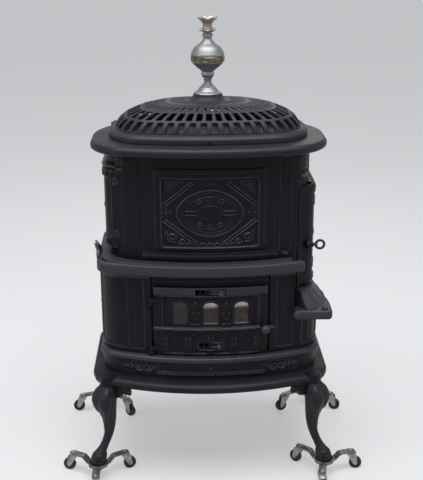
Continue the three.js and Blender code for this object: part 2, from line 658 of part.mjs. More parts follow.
const latchHole = bar([latch.x, -far, latch.level], [latch.x, latchFace + latch.bossDepth - 3, latch.level],
  latch.spindle + runningGap, 12);
const latchRoom = latch.ball + latch.lift;
const latchGap = block([latch.x - latchRoom, far],
  [latchFace - frontDoor.ledgeReach - latch.room, latchFace - 1],
  [latch.level - latchRoom, latch.level + latchRoom]);
const frontDoorSolid = without(together([
  doorBand(doorBack, frontDoor.proud, frontDoor.bottom, frontDoor.top, frontDoor.halfWidth),
  ledge.subtract(latchGap), latchBoss, ...doorKnuckles,
]), [
  ...windowCuts, ...vents, ...slidePocket(checkSlide), ...slidePocket(draftSlide), latchHole,
  doorBand(doorBack - overcut, doorBack + mica.pocket, mica.bottom, mica.top, mica.halfWidth),
  pinHole(-frontHinge.x, frontHingeY, frontHinge),
]);
addPiece('front_door', frontDoorSolid, castIron);
addPiece('check_slide', slideSolid(checkSlide), ironEdge);
addPiece('draft_slide', slideSolid(draftSlide), ironEdge);

const pocketEdge = mica.halfWidth - seatGap;
const [micaLow, micaHigh] = [mica.bottom + seatGap, mica.top - seatGap];
const micaFace = doorBack + mica.pocket - seatGap;
addPiece('mica_sheet',
  doorBand(micaFace - mica.sheet, micaFace, micaLow, micaHigh, pocketEdge), micaTint);
const retainerFace = micaFace - mica.sheet - seatGap;
addPiece('mica_retainer', without(
  doorBand(retainerFace - mica.retainer, retainerFace, micaLow, micaHigh, pocketEdge),
  windowCuts), sheetSteel);

// Ball latch: a spindle in the door, a turn bar over the column and a ball to grip.
const latchBarY = latchFace - latch.lift;
addPiece('door_latch', together([
  bar([latch.x, latchFace + latch.bossDepth - 4, latch.level],
    [latch.x, latchBarY - latch.stem, latch.level],
    latch.spindle, 12),
  block([latch.x - latch.barHeight / 2, latch.x + latch.barLength], [latchBarY - latch.barDepth, latchBarY],
    [latch.level - latch.barHeight / 2, latch.level + latch.barHeight / 2]),
  solidFrom(new THREE.SphereGeometry(latch.ball, 12, 7)
    .translate(latch.x, latchBarY - latch.stem - latch.ball / 2, latch.level)),
]), ironEdge);

// ---------------------------------------------------------------- feed door and its ring handle
const feedHalf = block([feedDoor.edgeX, far], everyY, everyZ);
const feedKnuckles = feedHinge.levels.map((level) => {
  const low = level + frontHinge.lugHeight + seatGap;
  return together([
    knuckleAt(feedHinge.x, feedHinge.reach, level, feedHinge, frontHinge.lugHeight),
    block([feedHinge.x, feedHinge.x + feedDoor.strap],
      [feedHinge.reach - feedDoor.strapReach, feedHinge.reach], [low, low + doorStrap.height]),
  ]);
});
const ringBar = (from, to, radius, sides) => bar([from, ringHandle.y, ringHandle.level],
  [to, ringHandle.y, ringHandle.level], radius, sides);
addPiece('feed_door', without(
  together([
    shell(upperPlan, feedDoor.back, feedDoor.face, feedDoor.bottom, feedDoor.top)
      .intersect(feedHalf),
    ringBar(ringHandle.stemStart + 3, ringHandle.bossFace, ringHandle.boss),
    ...feedKnuckles,
  ]), [
    ringBar(feedDoor.edgeX, far, ringHandle.stem + runningGap, 12),
    pinHole(feedHinge.x, feedHinge.reach, feedHinge),
  ]), castIron);

const ringLoop = new THREE.TorusGeometry(ringHandle.radius, ringHandle.bar, 6, 16)
  .rotateX(Math.PI / 2).translate(ringHandle.reach, ringHandle.y, ringHandle.level);
const hubFace = ringHandle.bossFace + seatGap;
addPiece('feed_door_ring', together([
  solidFrom(ringLoop),
  ringBar(ringHandle.stemStart, ringHandle.reach - ringHandle.radius, ringHandle.stem, 12),
  ringBar(hubFace, hubFace + ringHandle.hubWidth, ringHandle.hub, 12),
]), ironEdge);

// ---------------------------------------------------------------- top plate and cook lid
// The dome swings on a pin at its left rear corner.
const pivotOut = dome.corner + domePivot.reach;
const pivotX = dome.corner - dome.halfWidth + pivotOut * Math.cos(radians(domePivot.turn));
const pivotY = dome.halfDepth - dome.bow - dome.corner
  + pivotOut * Math.sin(radians(domePivot.turn));
const rimPlan = { ...overhang(upperPlan, rim), backCorner: rim.backCorner };
const plateBottom = topLevel - rim.plate;
const pivotHole = bar([pivotX, pivotY, rimLevel - overcut],
  [pivotX, pivotY, topLevel + overcut], domePivot.pin + runningGap);
addPiece('top_plate', without(planSolid([
  [rimLevel, grown(rimPlan, -rim.round, -2)],
  [rimLevel + rim.round, rimPlan],
  [topLevel - rim.round, grown(rimPlan, 0, -2)],
  [topLevel, grown(rimPlan, -rim.round, -rim.round - 4)],
]), [
  prism(grown(rimPlan, -rim.round - rim.lip), rimLevel - overcut, plateBottom)
    .subtract(prism(grown(upperPlan, rim.seat), rimLevel - 2 * overcut, topLevel)),
  prism(grown(upperPlan, -castWall - rim.seat), rimLevel - overcut, plateBottom),
  bar([0, 0, rimLevel], [0, 0, topLevel + overcut], cookHole.radius, 28),
  bar([0, 0, topLevel - cookHole.lid], [0, 0, topLevel + overcut], cookHole.radius + cookHole.seat, 28),
  pivotHole,
]), ironEdge);

const lidTop = topLevel - seatGap;
const lidRadius = cookHole.radius + cookHole.seat - cookHole.lidClearance;
const lidBossRadius = cookHole.radius - cookHole.bossInset;
const lidUnder = topLevel - cookHole.lid + seatGap;
addPiece('cook_lid', turned([
  [0, lidUnder - cookHole.lidBoss], [lidBossRadius, lidUnder - cookHole.lidBoss],
  [lidBossRadius, lidUnder], [lidRadius, lidUnder], [lidRadius, lidTop], [0, lidTop],
], 28).subtract(block([lifter.offset, lifter.offset + lifter.length],
  [-lifter.width / 2, lifter.width / 2], [lidTop - lifter.depth, topLevel + overcut])), castIron);

// ---------------------------------------------------------------- swing dome
const domeLow = topLevel + seatGap;
const domePlan = (factor) => ({
  halfWidth: (dome.halfWidth - dome.inset) * factor,
  halfDepth: (dome.halfDepth - dome.inset) * factor,
  bow: dome.bow * factor, corner: (dome.corner - dome.inset) * factor,
});
function domeStack(shrink) {
  const stack = [
    [domeLow, grown(dome, -shrink)],
    [domeLow + dome.flangeHeight - shrink, grown(dome, -shrink)],
    [domeLow + dome.shoulder - shrink, grown(dome, -dome.inset - shrink)],
  ];
  for (let step = 1; step <= dome.steps; step++) {
    const angle = (Math.PI / 2) * (step / dome.steps);
    const across = Math.max(Math.cos(angle), 0) ** (2 / dome.roundness);
    const up = Math.sin(angle) ** (2 / dome.roundness);
    const factor = dome.crown + (1 - dome.crown) * across;
    stack.push([domeLow + dome.shoulder + dome.rise * up - shrink,
      grown(domePlan(factor), -shrink * (step < dome.steps ? 1 : 0))]);
  }
  return stack;
}
const domeTop = domeLow + dome.shoulder + dome.rise;
const domeOuter = planSolid(domeStack(0));
const domeInner = planSolid([[domeLow - overcut, grown(dome, -dome.wall)],
  ...domeStack(dome.wall).slice(1)]);

// Places and directions spread evenly along an outline.
function spread(ring, count) {
  const loop = [...ring, ring[0]];
  const lengths = loop.slice(1).map((point, i) => point.distanceTo(loop[i]));
  const total = lengths.reduce((sum, length) => sum + length, 0);
  return Array.from({ length: count }, (_, i) => {
    let rest = (total * i) / count;
    let side = 0;
    while (rest > lengths[side]) rest -= lengths[side++];
    const run = loop[side + 1].clone().sub(loop[side]);
    const place = loop[side].clone().addScaledVector(run, rest / lengths[side]);
    return { x: place.x, y: place.y, angle: Math.atan2(run.y, run.x) };
  });
}
const slotLevel = domeLow + (slots.low + slots.high) / 2;
const slotUp = ((slotLevel - domeLow - dome.shoulder) / dome.rise) ** dome.roundness;
const slotFactor = dome.crown + (1 - dome.crown) * (1 - slotUp) ** (1 / dome.roundness);
const slotCuts = spread(planRing(domePlan(slotFactor), 0), slots.count)
  .map(({ x, y, angle }) =>
    solidFrom(new THREE.BoxGeometry(slots.width, 2 * slots.reach, slots.high - slots.low)
      .rotateZ(angle).translate(x, y, slotLevel)));

// A concave boss carries the finial.
const bossTop = domeTop + boss.height;
const bossProfile = [[0, domeTop - dome.wall - 1], [boss.foot, domeTop - dome.wall - 1]];
for (let step = 0; step <= boss.steps; step++) {
  const t = step / boss.steps;
  bossProfile.push([boss.neck + (boss.foot - boss.neck) * (1 - t) ** 2,
    domeTop - 3 + (boss.height + 3) * t]);
}
bossProfile.push([0, bossTop]);
const ear = [
  bar([pivotX, pivotY, domeLow], [pivotX, pivotY, domeLow + domePivot.earHeight],
    domePivot.ear),
  bar([pivotX, pivotY, topLevel - domePivot.depth],
    [pivotX, pivotY, domeLow + domePivot.earHeight + 5], domePivot.pin),
];
addPiece('swing_dome', together([
  without(domeOuter.subtract(domeInner), slotCuts), turned(bossProfile, finialSides),
  ear[0].subtract(domeInner), ear[1],
]), castIron);

// ---------------------------------------------------------------- finial
const bellFoot = bossTop + seatGap;
const cupTop = bellFoot + 99;
addPiece('finial_base', turned([
  [0, bellFoot], [41, bellFoot], [42, bellFoot + 4], [34, bellFoot + 9], [27, bellFoot + 14],
  [25, bellFoot + 20], [16, bellFoot + 27], [11.5, bellFoot + 36], [11.5, bellFoot + 43],
  [15, bellFoot + 50], [19, bellFoot + 57], [20, bellFoot + 63], [18, bellFoot + 68],
  [24, bellFoot + 74], [33, bellFoot + 81], [41, bellFoot + 88], [48, bellFoot + 94],
  [50, cupTop], [0, cupTop],
], finialSides), polished);
const bandLow = cupTop + seatGap;
const bandHigh = bandLow + 16;
addPiece('finial_band', turned([
  [0, bandLow], [50, bandLow], [51.8, bandLow + 4], [51.8, bandHigh - 4], [50.5, bandHigh],
  [0, bandHigh],
], finialSides), goldBand);
const urnLow = bandHigh + seatGap;
const urnTop = urnLow + 68;
addPiece('finial_urn', turned([
  [0, urnLow], [50.5, urnLow], [48, urnLow + 10], [40, urnLow + 22], [27, urnLow + 33],
  [17, urnLow + 42], [12.8, urnLow + 49], [13, urnLow + 54], [15, urnLow + 57],
  [15.2, urnLow + 63], [13, urnTop], [0, urnTop],
], finialSides), polished);

// Six-petalled flower over a collar of leaves.
const petals = 6;
const flowerLow = urnTop + seatGap;
const flowerSections = [
  [0, 12, 0], [5, 27, 0.1], [9, 28, 0.12], [14, 19, 0.05], [19, 14, 0], [26, 15, 0],
  [34, 22, 0.1], [40, 29, 0.18], [45, 32, 0.25],
];
const flowerRing = ([height, radius, wave]) =>
  Array.from({ length: 3 * petals }, (_, i) => {
    const angle = (2 * Math.PI * i) / (3 * petals);
    const reach = radius * (1 + wave * (Math.cos(petals * angle) - 1) * 0.5);
    return new THREE.Vector3(
      reach * Math.cos(angle), reach * Math.sin(angle), flowerLow + height);
  });
const flowerCup = turned([[0, flowerLow + 28], [7, flowerLow + 32], [20, flowerLow + 48],
  [0, flowerLow + 48]], 12);
addPiece('finial_flower', loft(flowerSections.map(flowerRing)).subtract(flowerCup), polished);

// ---------------------------------------------------------------- fire pot, grate and ash pan
const potRim = {
  halfWidth: firePot.rimHalfWidth, halfDepth: firePot.rimHalfDepth, bow: firePot.rimBow,
  corner: firePot.corner,
};
const potFoot = {
  halfWidth: firePot.rimHalfWidth - firePot.taperX, halfDepth: potFootHalfDepth,
  bow: firePot.footBow, corner: firePot.corner,
};
const potInside = (plan) => grown(plan, -firePot.wall, -firePot.wall, { corner: plan.corner });
const potBody = planSolid([
  [firePot.bottom, potFoot], [firePot.bottom + firePot.plate, potFoot], [firePot.top, potRim],
]).subtract(planSolid([
  [firePot.bottom + firePot.plate, potInside(potFoot)],
  [firePot.top + overcut, potInside(potRim)],
]));
const grateSeat = firePot.bottom + firePot.plate - grate.thickness;
const stands = [-1, 1].map((side) => block(
  [side * potStand.x, side * (potStand.x + potStand.thickness)],
  [-potStand.halfDepth, potStand.halfDepth], [lowLow, firePot.bottom + 1]));
addPiece('fire_pot', without(together([potBody, ...stands]), [
  bar([0, 0, firePot.bottom - overcut], [0, 0, firePot.top], grate.radius - grate.ledge, 24),
  bar([0, 0, grateSeat], [0, 0, firePot.top], grate.radius + grate.clearance, 24),
]), castIron);

const grateLow = grateSeat + seatGap;
const barPitch = (2 * (grate.radius - grate.rimWidth)) / grate.bars;
const grateSlots = Array.from({ length: grate.bars }, (_, i) => {
  const y = (i - (grate.bars - 1) / 2) * barPitch;
  const half = Math.sqrt((grate.radius - grate.rimWidth) ** 2 - y ** 2);
  return [-1, 1].map((side) => block([side * grate.spine, side * half],
    [y - grate.slot / 2, y + grate.slot / 2], [grateLow - overcut, grateLow + 2 * grate.thickness]));
}).flat();
addPiece('grate', without(
  bar([0, 0, grateLow], [0, 0, grateLow + grate.thickness - 1], grate.radius, 24),
  grateSlots).add(bar([0, 0, grateLow - grate.hubDepth], [0, 0, grateLow + 1], grate.hub, 12)), castIron);

const panTop = lowLow + ashPan.height;
addPiece('ash_pan', block([-ashPan.halfWidth, ashPan.halfWidth], [ashPan.front, ashPan.back],
  [lowLow, panTop])
  .subtract(block([-ashPan.halfWidth + ashPan.wall, ashPan.halfWidth - ashPan.wall],
    [ashPan.front + ashPan.wall, ashPan.back - ashPan.wall],
    [lowLow + ashPan.wall, panTop + overcut]))
  .add(bar([0, ashPan.front + 1, lowLow + ashPan.height / 2],
    [0, ashPan.front - ashPan.grip, lowLow + ashPan.height / 2], ashPan.gripRadius, 12)), sheetSteel);

// ---------------------------------------------------------------- caster dollies
const strapBottom = dolly.armTop - dolly.strap;
const cupBottom = footHeight - dolly.cupFloor;
function spiderSolid() {
  const cup = turned([
    [0, cupBottom], [dolly.cupRadius, cupBottom], [dolly.cupRadius, footHeight + dolly.cupHeight],
    [dolly.cupRadius - dolly.cupWall, footHeight + dolly.cupHeight],
    [dolly.cupRadius - dolly.cupWall, footHeight], [0, footHeight],
  ], 16);
  const side = new THREE.Shape([
    new THREE.Vector2(dolly.cupRadius - dolly.rootIn, cupBottom),
    new THREE.Vector2(dolly.bendIn + dolly.bendShift, cupBottom),
    new THREE.Vector2(dolly.bendOut + dolly.bendShift, strapBottom), new THREE.Vector2(dolly.tip, strapBottom),
    new THREE.Vector2(dolly.tip, dolly.armTop), new THREE.Vector2(dolly.bendOut, dolly.armTop),
    new THREE.Vector2(dolly.bendIn, footHeight), new THREE.Vector2(dolly.cupRadius - dolly.rootIn, footHeight),
  ]);
  const arms = dollyArms.map((degrees) => {
    const arm = new THREE.ExtrudeGeometry(side, { depth: dolly.armWidth, bevelEnabled: false })
      .translate(0, 0, -dolly.armWidth / 2).rotateX(Math.PI / 2);
    return solidFrom(arm.rotateZ(radians(degrees)));
  });
  const holes = dollyArms.map((degrees) => {
    const [x, y] = [Math.cos(radians(degrees)), Math.sin(radians(degrees))];
    return bar([x * dolly.arm, y * dolly.arm, 0], [x * dolly.arm, y * dolly.arm, far],
      caster.stem + runningGap, 8);
  });
  return without(together([cup, ...arms]), holes);
}

// Swivel fork, drawn at its stem, with the wheel trailing along +x.
const cheekIn = caster.wheelWidth / 2 + caster.cheekGap;
const cheekOut = cheekIn + caster.cheek;
const crownTop = strapBottom - seatGap;
function forkSolid() {
  const outline = new THREE.Shape();
  outline.moveTo(-caster.crownHalf, crownTop);
  outline.lineTo(-caster.crownHalf, crownTop - caster.crown);
  outline.lineTo(caster.trail - caster.hub, caster.wheel - caster.hub / 2);
  outline.absarc(caster.trail, caster.wheel, caster.hub, Math.PI * 1.15, Math.PI * 2, false);
  outline.lineTo(caster.crownHalf + 6, crownTop - caster.crown);
  outline.lineTo(caster.crownHalf, crownTop);
  const cheeks = [-cheekOut, cheekIn].map((y) => {
    const plate = new THREE.ExtrudeGeometry(outline, {
      depth: caster.cheek, bevelEnabled: false, curveSegments: 3,
    });
    return solidFrom(plate.rotateX(Math.PI / 2).translate(0, y + caster.cheek, 0));
  });
  return together([
    ...cheeks,
    block([-caster.crownHalf, caster.crownHalf], [-cheekOut, cheekOut],
      [crownTop - caster.crown, crownTop]),
    bar([0, 0, crownTop - 1], [0, 0, dolly.armTop + seatGap + 1], caster.stem, 8),
    bar([0, 0, dolly.armTop + seatGap], [0, 0, dolly.armTop + seatGap + caster.headHeight],
      caster.head, 8),
    bar([caster.trail, -cheekOut + 1, caster.wheel], [caster.trail, cheekOut - 1, caster.wheel],
      caster.axle, 8),
  ]);
}

// Wheel about the y axis at the origin; its flats are down so that it stands still.
function wheelSolid() {
  const rim = caster.wheel / Math.cos(Math.PI / caster.sides);
  const half = caster.wheelWidth / 2;
  const bore = caster.axle + runningGap;
  const profile = [[bore, -half], [rim, -half], [rim, half], [bore, half], [bore, -half]]
    .map(([r, z]) => new THREE.Vector2(r, z));
  return solidFrom(new THREE.LatheGeometry(profile, caster.sides)
    .rotateY(Math.PI / caster.sides + Math.PI / 2));
}

const spider = spiderSolid();
const fork = forkSolid();
const wheel = wheelSolid();
// Each dolly's turn, and the way its three casters trail.
const dollyTurns = { front_left: 0, front_right: -12, back_right: 180, back_left: 168 };
const casterTurns = { front_left: [-75, 20, 165], front_right: [-70, 5, 150] };
casterTurns.back_right = casterTurns.front_left;
casterTurns.back_left = casterTurns.front_right;
for (const [signX, signY, corner] of corners) {
  const base = new THREE.Group();
  base.position.set(signX * legReach.x, signY * legReach.y, 0);
  base.rotation.z = radians(dollyTurns[corner]);
  stove.add(base);
  addPiece(`spider_${corner}`, spider, zinc, base);
  dollyArms.forEach((degrees, i) => {
    const swivel = new THREE.Group();
    swivel.position.set(dolly.arm * Math.cos(radians(degrees)),
      dolly.arm * Math.sin(radians(degrees)), 0);
    swivel.rotation.z = radians(casterTurns[corner][i]);
    base.add(swivel);
    addPiece(`fork_${corner}_${i + 1}`, fork, zinc, swivel);
    const axle = new THREE.Group();
    axle.position.set(caster.trail, 0, caster.wheel);
    swivel.add(axle);
    addPiece(`wheel_${corner}_${i + 1}`, wheel, blackTyre, axle);
  });
}

export default stove;
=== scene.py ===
"""Looks of a cast-iron parlour stove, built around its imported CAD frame.

Sizes are in millimetres until a mesh is made, which turns them into metres. The front faces -Y.
"""

import math

import bpy
import numpy as np
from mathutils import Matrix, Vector


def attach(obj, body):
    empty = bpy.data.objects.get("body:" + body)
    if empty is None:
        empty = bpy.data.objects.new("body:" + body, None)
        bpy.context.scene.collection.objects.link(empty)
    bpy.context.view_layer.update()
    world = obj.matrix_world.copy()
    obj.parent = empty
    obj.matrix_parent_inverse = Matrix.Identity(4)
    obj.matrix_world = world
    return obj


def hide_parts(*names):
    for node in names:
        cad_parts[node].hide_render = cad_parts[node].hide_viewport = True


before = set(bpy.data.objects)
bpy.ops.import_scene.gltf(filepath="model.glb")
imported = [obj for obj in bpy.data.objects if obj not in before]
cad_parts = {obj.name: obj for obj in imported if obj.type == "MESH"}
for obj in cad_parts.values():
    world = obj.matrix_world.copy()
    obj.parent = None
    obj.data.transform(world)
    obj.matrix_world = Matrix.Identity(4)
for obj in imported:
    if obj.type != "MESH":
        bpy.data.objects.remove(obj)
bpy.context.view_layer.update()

bl_info = {
    "name": "Parlour Stove",
    "version": (1, 0, 0),
    "blender": (4, 5, 0),
    "location": "View3D > Sidebar > Stove",
    "description": "Builds the castings, finial, doors and caster dollies of a parlour stove",
    "category": "Add Mesh",
}

MM = 0.001
TAU = 2 * math.pi
GAP = 0.3  # between castings that touch
WALL = 6.0

# Levels of the stacked castings.
BAND, FLOOR, BELT, UPPER, RIM, TOP = 336, 412, 673, 708, 1037, 1064
HEARTH, FLUE = 515, 930

KNEE = (320.0, 192.0)  # where a leg meets the base
QUARTERS = ((-1, -1), (-1, 1), (1, -1), (1, 1))
# The sign of x, the sign of y and the name of each corner.
CORNERS = ((-1, -1, "front_left"), (1, -1, "front_right"), (1, 1, "back_right"),
           (-1, 1, "back_left"))


# ---- plans
class Plan:
    """A bowed rectangle seen from above, read by the distance along it from the front's middle.

    A rounded rectangle is walked anticlockwise, then each point moves out along y by
    bow * (1 - (x / half width)^2) * (y / flat depth), where flat depth = half depth - bow.
    """

    STEPS = 260  # points in the table on each of the nine stretches

    def __init__(self, half_width, half_depth, bow, corner, back_corner=None):
        self.half_width, self.half_depth = half_width, half_depth
        self.bow, self.corner, self.back_corner = bow, corner, back_corner
        flat = half_depth - bow
        near = min(corner, flat - 1)
        far = min(back_corner or corner, flat - 1)
        t = np.linspace(0, 1, self.STEPS, endpoint=False)

        def line(x0, y0, x1, y1):
            """Points on a straight stretch."""
            return x0 + (x1 - x0) * t, y0 + (y1 - y0) * t

        def arc(side_x, side_y, radius, start):
            """Points on the quarter circle of one corner."""
            angle = math.radians(start) + t * TAU / 4
            return (side_x * (half_width - radius) + radius * np.cos(angle),
                    side_y * (flat - radius) + radius * np.sin(angle))

        parts = [
            line(0, -flat, half_width - near, -flat), arc(1, -1, near, -90),
            line(half_width, near - flat, half_width, flat - far), arc(1, 1, far, 0),
            line(half_width - far, flat, far - half_width, flat), arc(-1, 1, far, 90),
            line(-half_width, flat - far, -half_width, near - flat), arc(-1, -1, near, 180),
            line(near - half_width, -flat, 0, -flat),
        ]
        x = np.concatenate([p[0] for p in parts])
        y = np.concatenate([p[1] for p in parts])
        y = y + bow * (1 - (x / half_width) ** 2) * y / flat
        run = np.hypot(np.roll(x, -1) - x, np.roll(y, -1) - y)
        self.x, self.y = x, y
        self.s = np.concatenate([[0], np.cumsum(run)[:-1]])
        self.length = float(run.sum())
        dx, dy = np.roll(x, -1) - np.roll(x, 1), np.roll(y, -1) - np.roll(y, 1)
        size = np.hypot(dx, dy)
        self.nx, self.ny = dy / size, -dx / size

    def grown(self, side, front=None, bow=None, corner=None):
        """The plan moved out by side at the sides and by front at the front and back."""
        front = side if front is None else front
        corner = max(self.corner + min(side, front), 6) if corner is None else corner
        return Plan(self.half_width + side, self.half_depth + front,
                    self.bow if bow is None else bow, corner, self.back_corner)

    def at(self, s, out=0.0):
        """x and y at distance s along the plan, moved out along its normal."""
        read = lambda table: np.interp(s, self.s, table, period=self.length)
        return read(self.x) + out * read(self.nx), read(self.y) + out * read(self.ny)

    def front(self, x):
        """Distance along the plan of a point on the front at x."""
        half = self.s <= self.length / 4
        return np.sign(x) * np.interp(np.abs(x), self.x[half], self.s[half])

    def back(self, x):
        """Distance along the plan of a point on the back at x; between L/4 and 3L/4."""
        return self.length / 2 - self.front(x)

    def fall(self, x):
        """How far the bow has fallen back at x: bow * (x / half width)^2."""
        return self.bow * (x / self.half_width) ** 2

    def bowed(self, x):
        """y of the bowed front at x."""
        return -self.half_depth + self.fall(x)

    def side(self, y):
        """Distance along the plan of a point on the right side at y."""
        part = (self.s > self.front(self.half_width - 2)) & (self.s < self.length / 2)
        part &= self.x > self.half_width - self.corner
        return float(np.interp(y, self.y[part], self.s[part]))

    def by_row(self, i):
        """x and y at rows of the table, which wraps round; a row may be a fraction."""
        whole = np.arange(len(self.x) + 1)
        return tuple(np.interp(i, whole, np.append(a, a[0])) for a in (self.x, self.y))

    def loop(self, count):
        """count points round the plan, evenly spread over its table, so that plans of the same
        shape keep in step."""
        return self.by_row(np.linspace(0, len(self.x), count, endpoint=False))


LOWER_PLAN = Plan(338, 222, 65, 60)
UPPER_PLAN = Plan(305, 197, 58, 60)
BELT_PLAN = Plan(345, 243, 63, 30)
RIM_PLAN = Plan(356, 247, 71, 100, 170)
SKIRT_PLAN = Plan(372, 280, 89, 60)
RAIL_PLAN = Plan(344, 250, 81, 35)
DOME_PLAN = Plan(302, 187, 50, 100)


class Shape:
    """Points and faces gathered from several closed skins, to be made into one mesh."""

    def __init__(self):
        self.points, self.faces, self.relief, self.count = [], [], [], 0

    def add(self, points, faces, relief=None):
        """Takes in one skin; relief is one number for all its points or one for each."""
        points = np.asarray(points, dtype=np.float64).reshape(-1, 3)
        self.points.append(points)
        self.faces += [np.asarray(f) + self.count for f in faces if len(f)]
        relief = 0 if relief is None else relief
        self.relief.append(np.broadcast_to(np.ravel(relief), len(points)))
        self.count += len(points)
        return self

    def moved(self, angle, offset):
        """A copy turned about the upright axis by angle in degrees, then moved."""
        c, s = math.cos(math.radians(angle)), math.sin(math.radians(angle))
        turn = np.array([[c, s, 0], [-s, c, 0], [0, 0, 1]])
        other = Shape()
        other.points = [p @ turn + np.asarray(offset, dtype=float) for p in self.points]
        other.faces, other.relief, other.count = self.faces, self.relief, self.count
        return other

    def stand(self, name, body, material, node, smooth=38):
        """Makes the mesh object, which rides on a body, has its finish and is shown in place of a
        CAD node. Its relief attribute is how far each point stands proud, with painted sheen added
        on some parts."""
        points = np.concatenate(self.points) * MM
        sizes = np.concatenate([np.full(len(f), f.shape[1]) for f in self.faces])
        loops = np.concatenate([f.ravel() for f in self.faces]).astype(np.int32)
        mesh = bpy.data.meshes.new(name)
        mesh.vertices.add(len(points))
        mesh.vertices.foreach_set("co", points.ravel())
        mesh.loops.add(len(loops))
        mesh.loops.foreach_set("vertex_index", loops)
        mesh.polygons.add(len(sizes))
        mesh.polygons.foreach_set("loop_start", (np.cumsum(sizes) - sizes).astype(np.int32))
        mesh.update(calc_edges=True)
        if mesh.validate():
            raise RuntimeError(f"{name} has broken faces")
        mesh.shade_smooth()
        mesh.set_sharp_from_angle(angle=math.radians(smooth))
        layer = mesh.attributes.new("relief", "FLOAT", "POINT")
        layer.data.foreach_set("value", np.concatenate(self.relief).astype(np.float32))
        mesh.materials.append(finish(material))
        obj = bpy.data.objects.new(name, mesh)
        bpy.context.collection.objects.link(obj)
        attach(obj, body)
        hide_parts(node)


def quads(a, b, c, d):
    """Faces of four corners from four arrays of point numbers."""
    return np.stack([np.ravel(a), np.ravel(b), np.ravel(c), np.ravel(d)], axis=1)


def skin(grid, round_rows=False, round_columns=True, caps=True):
    """Faces over a grid of points, rows by columns. Columns usually close into a ring; rows
    close only on a torus. With caps, the first and last ring are filled by a fan on a middle
    point. Rings run anticlockwise seen from the last row's side."""
    rows, columns = grid.shape[:2]
    index = np.arange(rows * columns).reshape(rows, columns)
    low = index if round_rows else index[:-1]
    high = np.roll(index, -1, axis=0) if round_rows else index[1:]
    if round_columns:
        faces = [quads(low, np.roll(low, -1, axis=1), np.roll(high, -1, axis=1), high)]
    else:
        faces = [quads(low[:, :-1], low[:, 1:], high[:, 1:], high[:, :-1])]
    points = grid.reshape(-1, 3)
    if caps and not round_rows:
        hubs = np.array([grid[0].mean(axis=0), grid[-1].mean(axis=0)])
        points = np.concatenate([points, hubs])
        first, last = index[0], index[-1]
        foot, top = rows * columns, rows * columns + 1
        faces.append(np.stack([np.roll(first, -1), first, np.full(columns, foot)], axis=1))
        faces.append(np.stack([last, np.roll(last, -1), np.full(columns, top)], axis=1))
    return points, faces


def sheet_skin(front, back, keep=None, closed=False):
    """A closed skin round a thick sheet. front and back are grids of points, rows upwards and
    columns to the right as seen from outside; keep marks the cells that are metal. A wall closes
    every edge between metal and air. A closed sheet's last column meets its first."""
    rows, columns = front.shape[:2]
    cells = columns if closed else columns - 1
    keep = np.ones((rows - 1, cells), dtype=bool) if keep is None else keep
    index = np.arange(rows * columns).reshape(rows, columns)
    if closed:
        index = np.concatenate([index, index[:, :1]], axis=1)
    deep = index + rows * columns
    a, b, c, d = index[:-1, :-1], index[:-1, 1:], index[1:, 1:], index[1:, :-1]
    e, f, g, h = deep[:-1, :-1], deep[:-1, 1:], deep[1:, 1:], deep[1:, :-1]
    air = np.pad(~keep, 1, constant_values=True)
    if closed:
        air[:, 0], air[:, -1] = air[:, -2], air[:, 1]
    below, above = air[:-2, 1:-1] & keep, air[2:, 1:-1] & keep
    left, right = air[1:-1, :-2] & keep, air[1:-1, 2:] & keep
    pick = lambda mask, *corners: quads(*(corner[mask] for corner in corners))
    faces = [
        pick(keep, a, b, c, d), pick(keep, e, h, g, f),
        pick(below, a, e, f, b), pick(above, c, g, h, d),
        pick(left, d, h, e, a), pick(right, b, f, g, c),
    ]
    points = np.concatenate([front.reshape(-1, 3), back.reshape(-1, 3)])
    used = np.zeros(len(points), dtype=bool)
    for face in faces:
        used[face.ravel()] = True
    new = np.cumsum(used) - 1
    return points[used], [new[face] for face in faces], used


def stack(x, y, z):
    """Arrays of coordinates as one array of points."""
    x, y, z = np.broadcast_arrays(x, y, z)
    return np.stack([x, y, z], axis=-1)


def rubbed(relief, reach=3):
    """How much a face stands out of what is near it, from 0 to 1: its height over the mean of the
    heights around, which is found by averaging shifted copies along both axes."""
    mean = relief.astype(float)
    for _ in range(reach):
        padded = np.pad(mean, 1, mode="edge")
        mean = (padded[:-2, 1:-1] + padded[2:, 1:-1] + padded[1:-1, :-2] + padded[1:-1, 2:]
                + mean) / 5
    return np.clip(relief - mean, 0, 1)


def wall(plan, s, z, relief=0.0, back=-WALL, keep=None, closed=False, offset=0.0, worn_and_sheen=0.0):
    """A cast wall that follows a plan. s and z are grids or axes; relief is how far the face stands
    out, back where the rear face lies, and worn_and_sheen how much lighter the face is painted
    besides, a painted sheen. Returns points, faces and the rubbed value with painted sheen for
    Shape."""
    if np.ndim(s) == 1:
        s, z = np.meshgrid(s, z)
    relief = np.broadcast_to(relief, s.shape)
    back = np.broadcast_to(back, s.shape)
    front_xy = plan.at(s, offset + relief)
    back_xy = plan.at(s, offset + back)
    points, faces, used = sheet_skin(stack(*front_xy, z), stack(*back_xy, z), keep, closed)
    # Rubbed raised faces, plus painted sheen from worn_and_sheen.
    proud = np.clip(rubbed(relief) + worn_and_sheen, 0, 1)
    return points, faces, np.concatenate([proud.ravel(), np.zeros(s.size)])[used]


def sweep(rings, count, closed=True):
    """A skin through rings of points, one for each pair of a plan and its level. closed joins
    the last ring to the first, as round the section of a hollow casting."""
    rings = [stack(*plan.loop(count), z) for plan, z in rings]
    return skin(np.array(rings), round_rows=closed, caps=not closed)


def nosed(plan, *profile):
    """Pairs for sweep, from how far a rounded edge stands out of its plan at the sides and at the
    front and back, and its level."""
    return [(plan.grown(side, front), z) for side, front, z in profile]


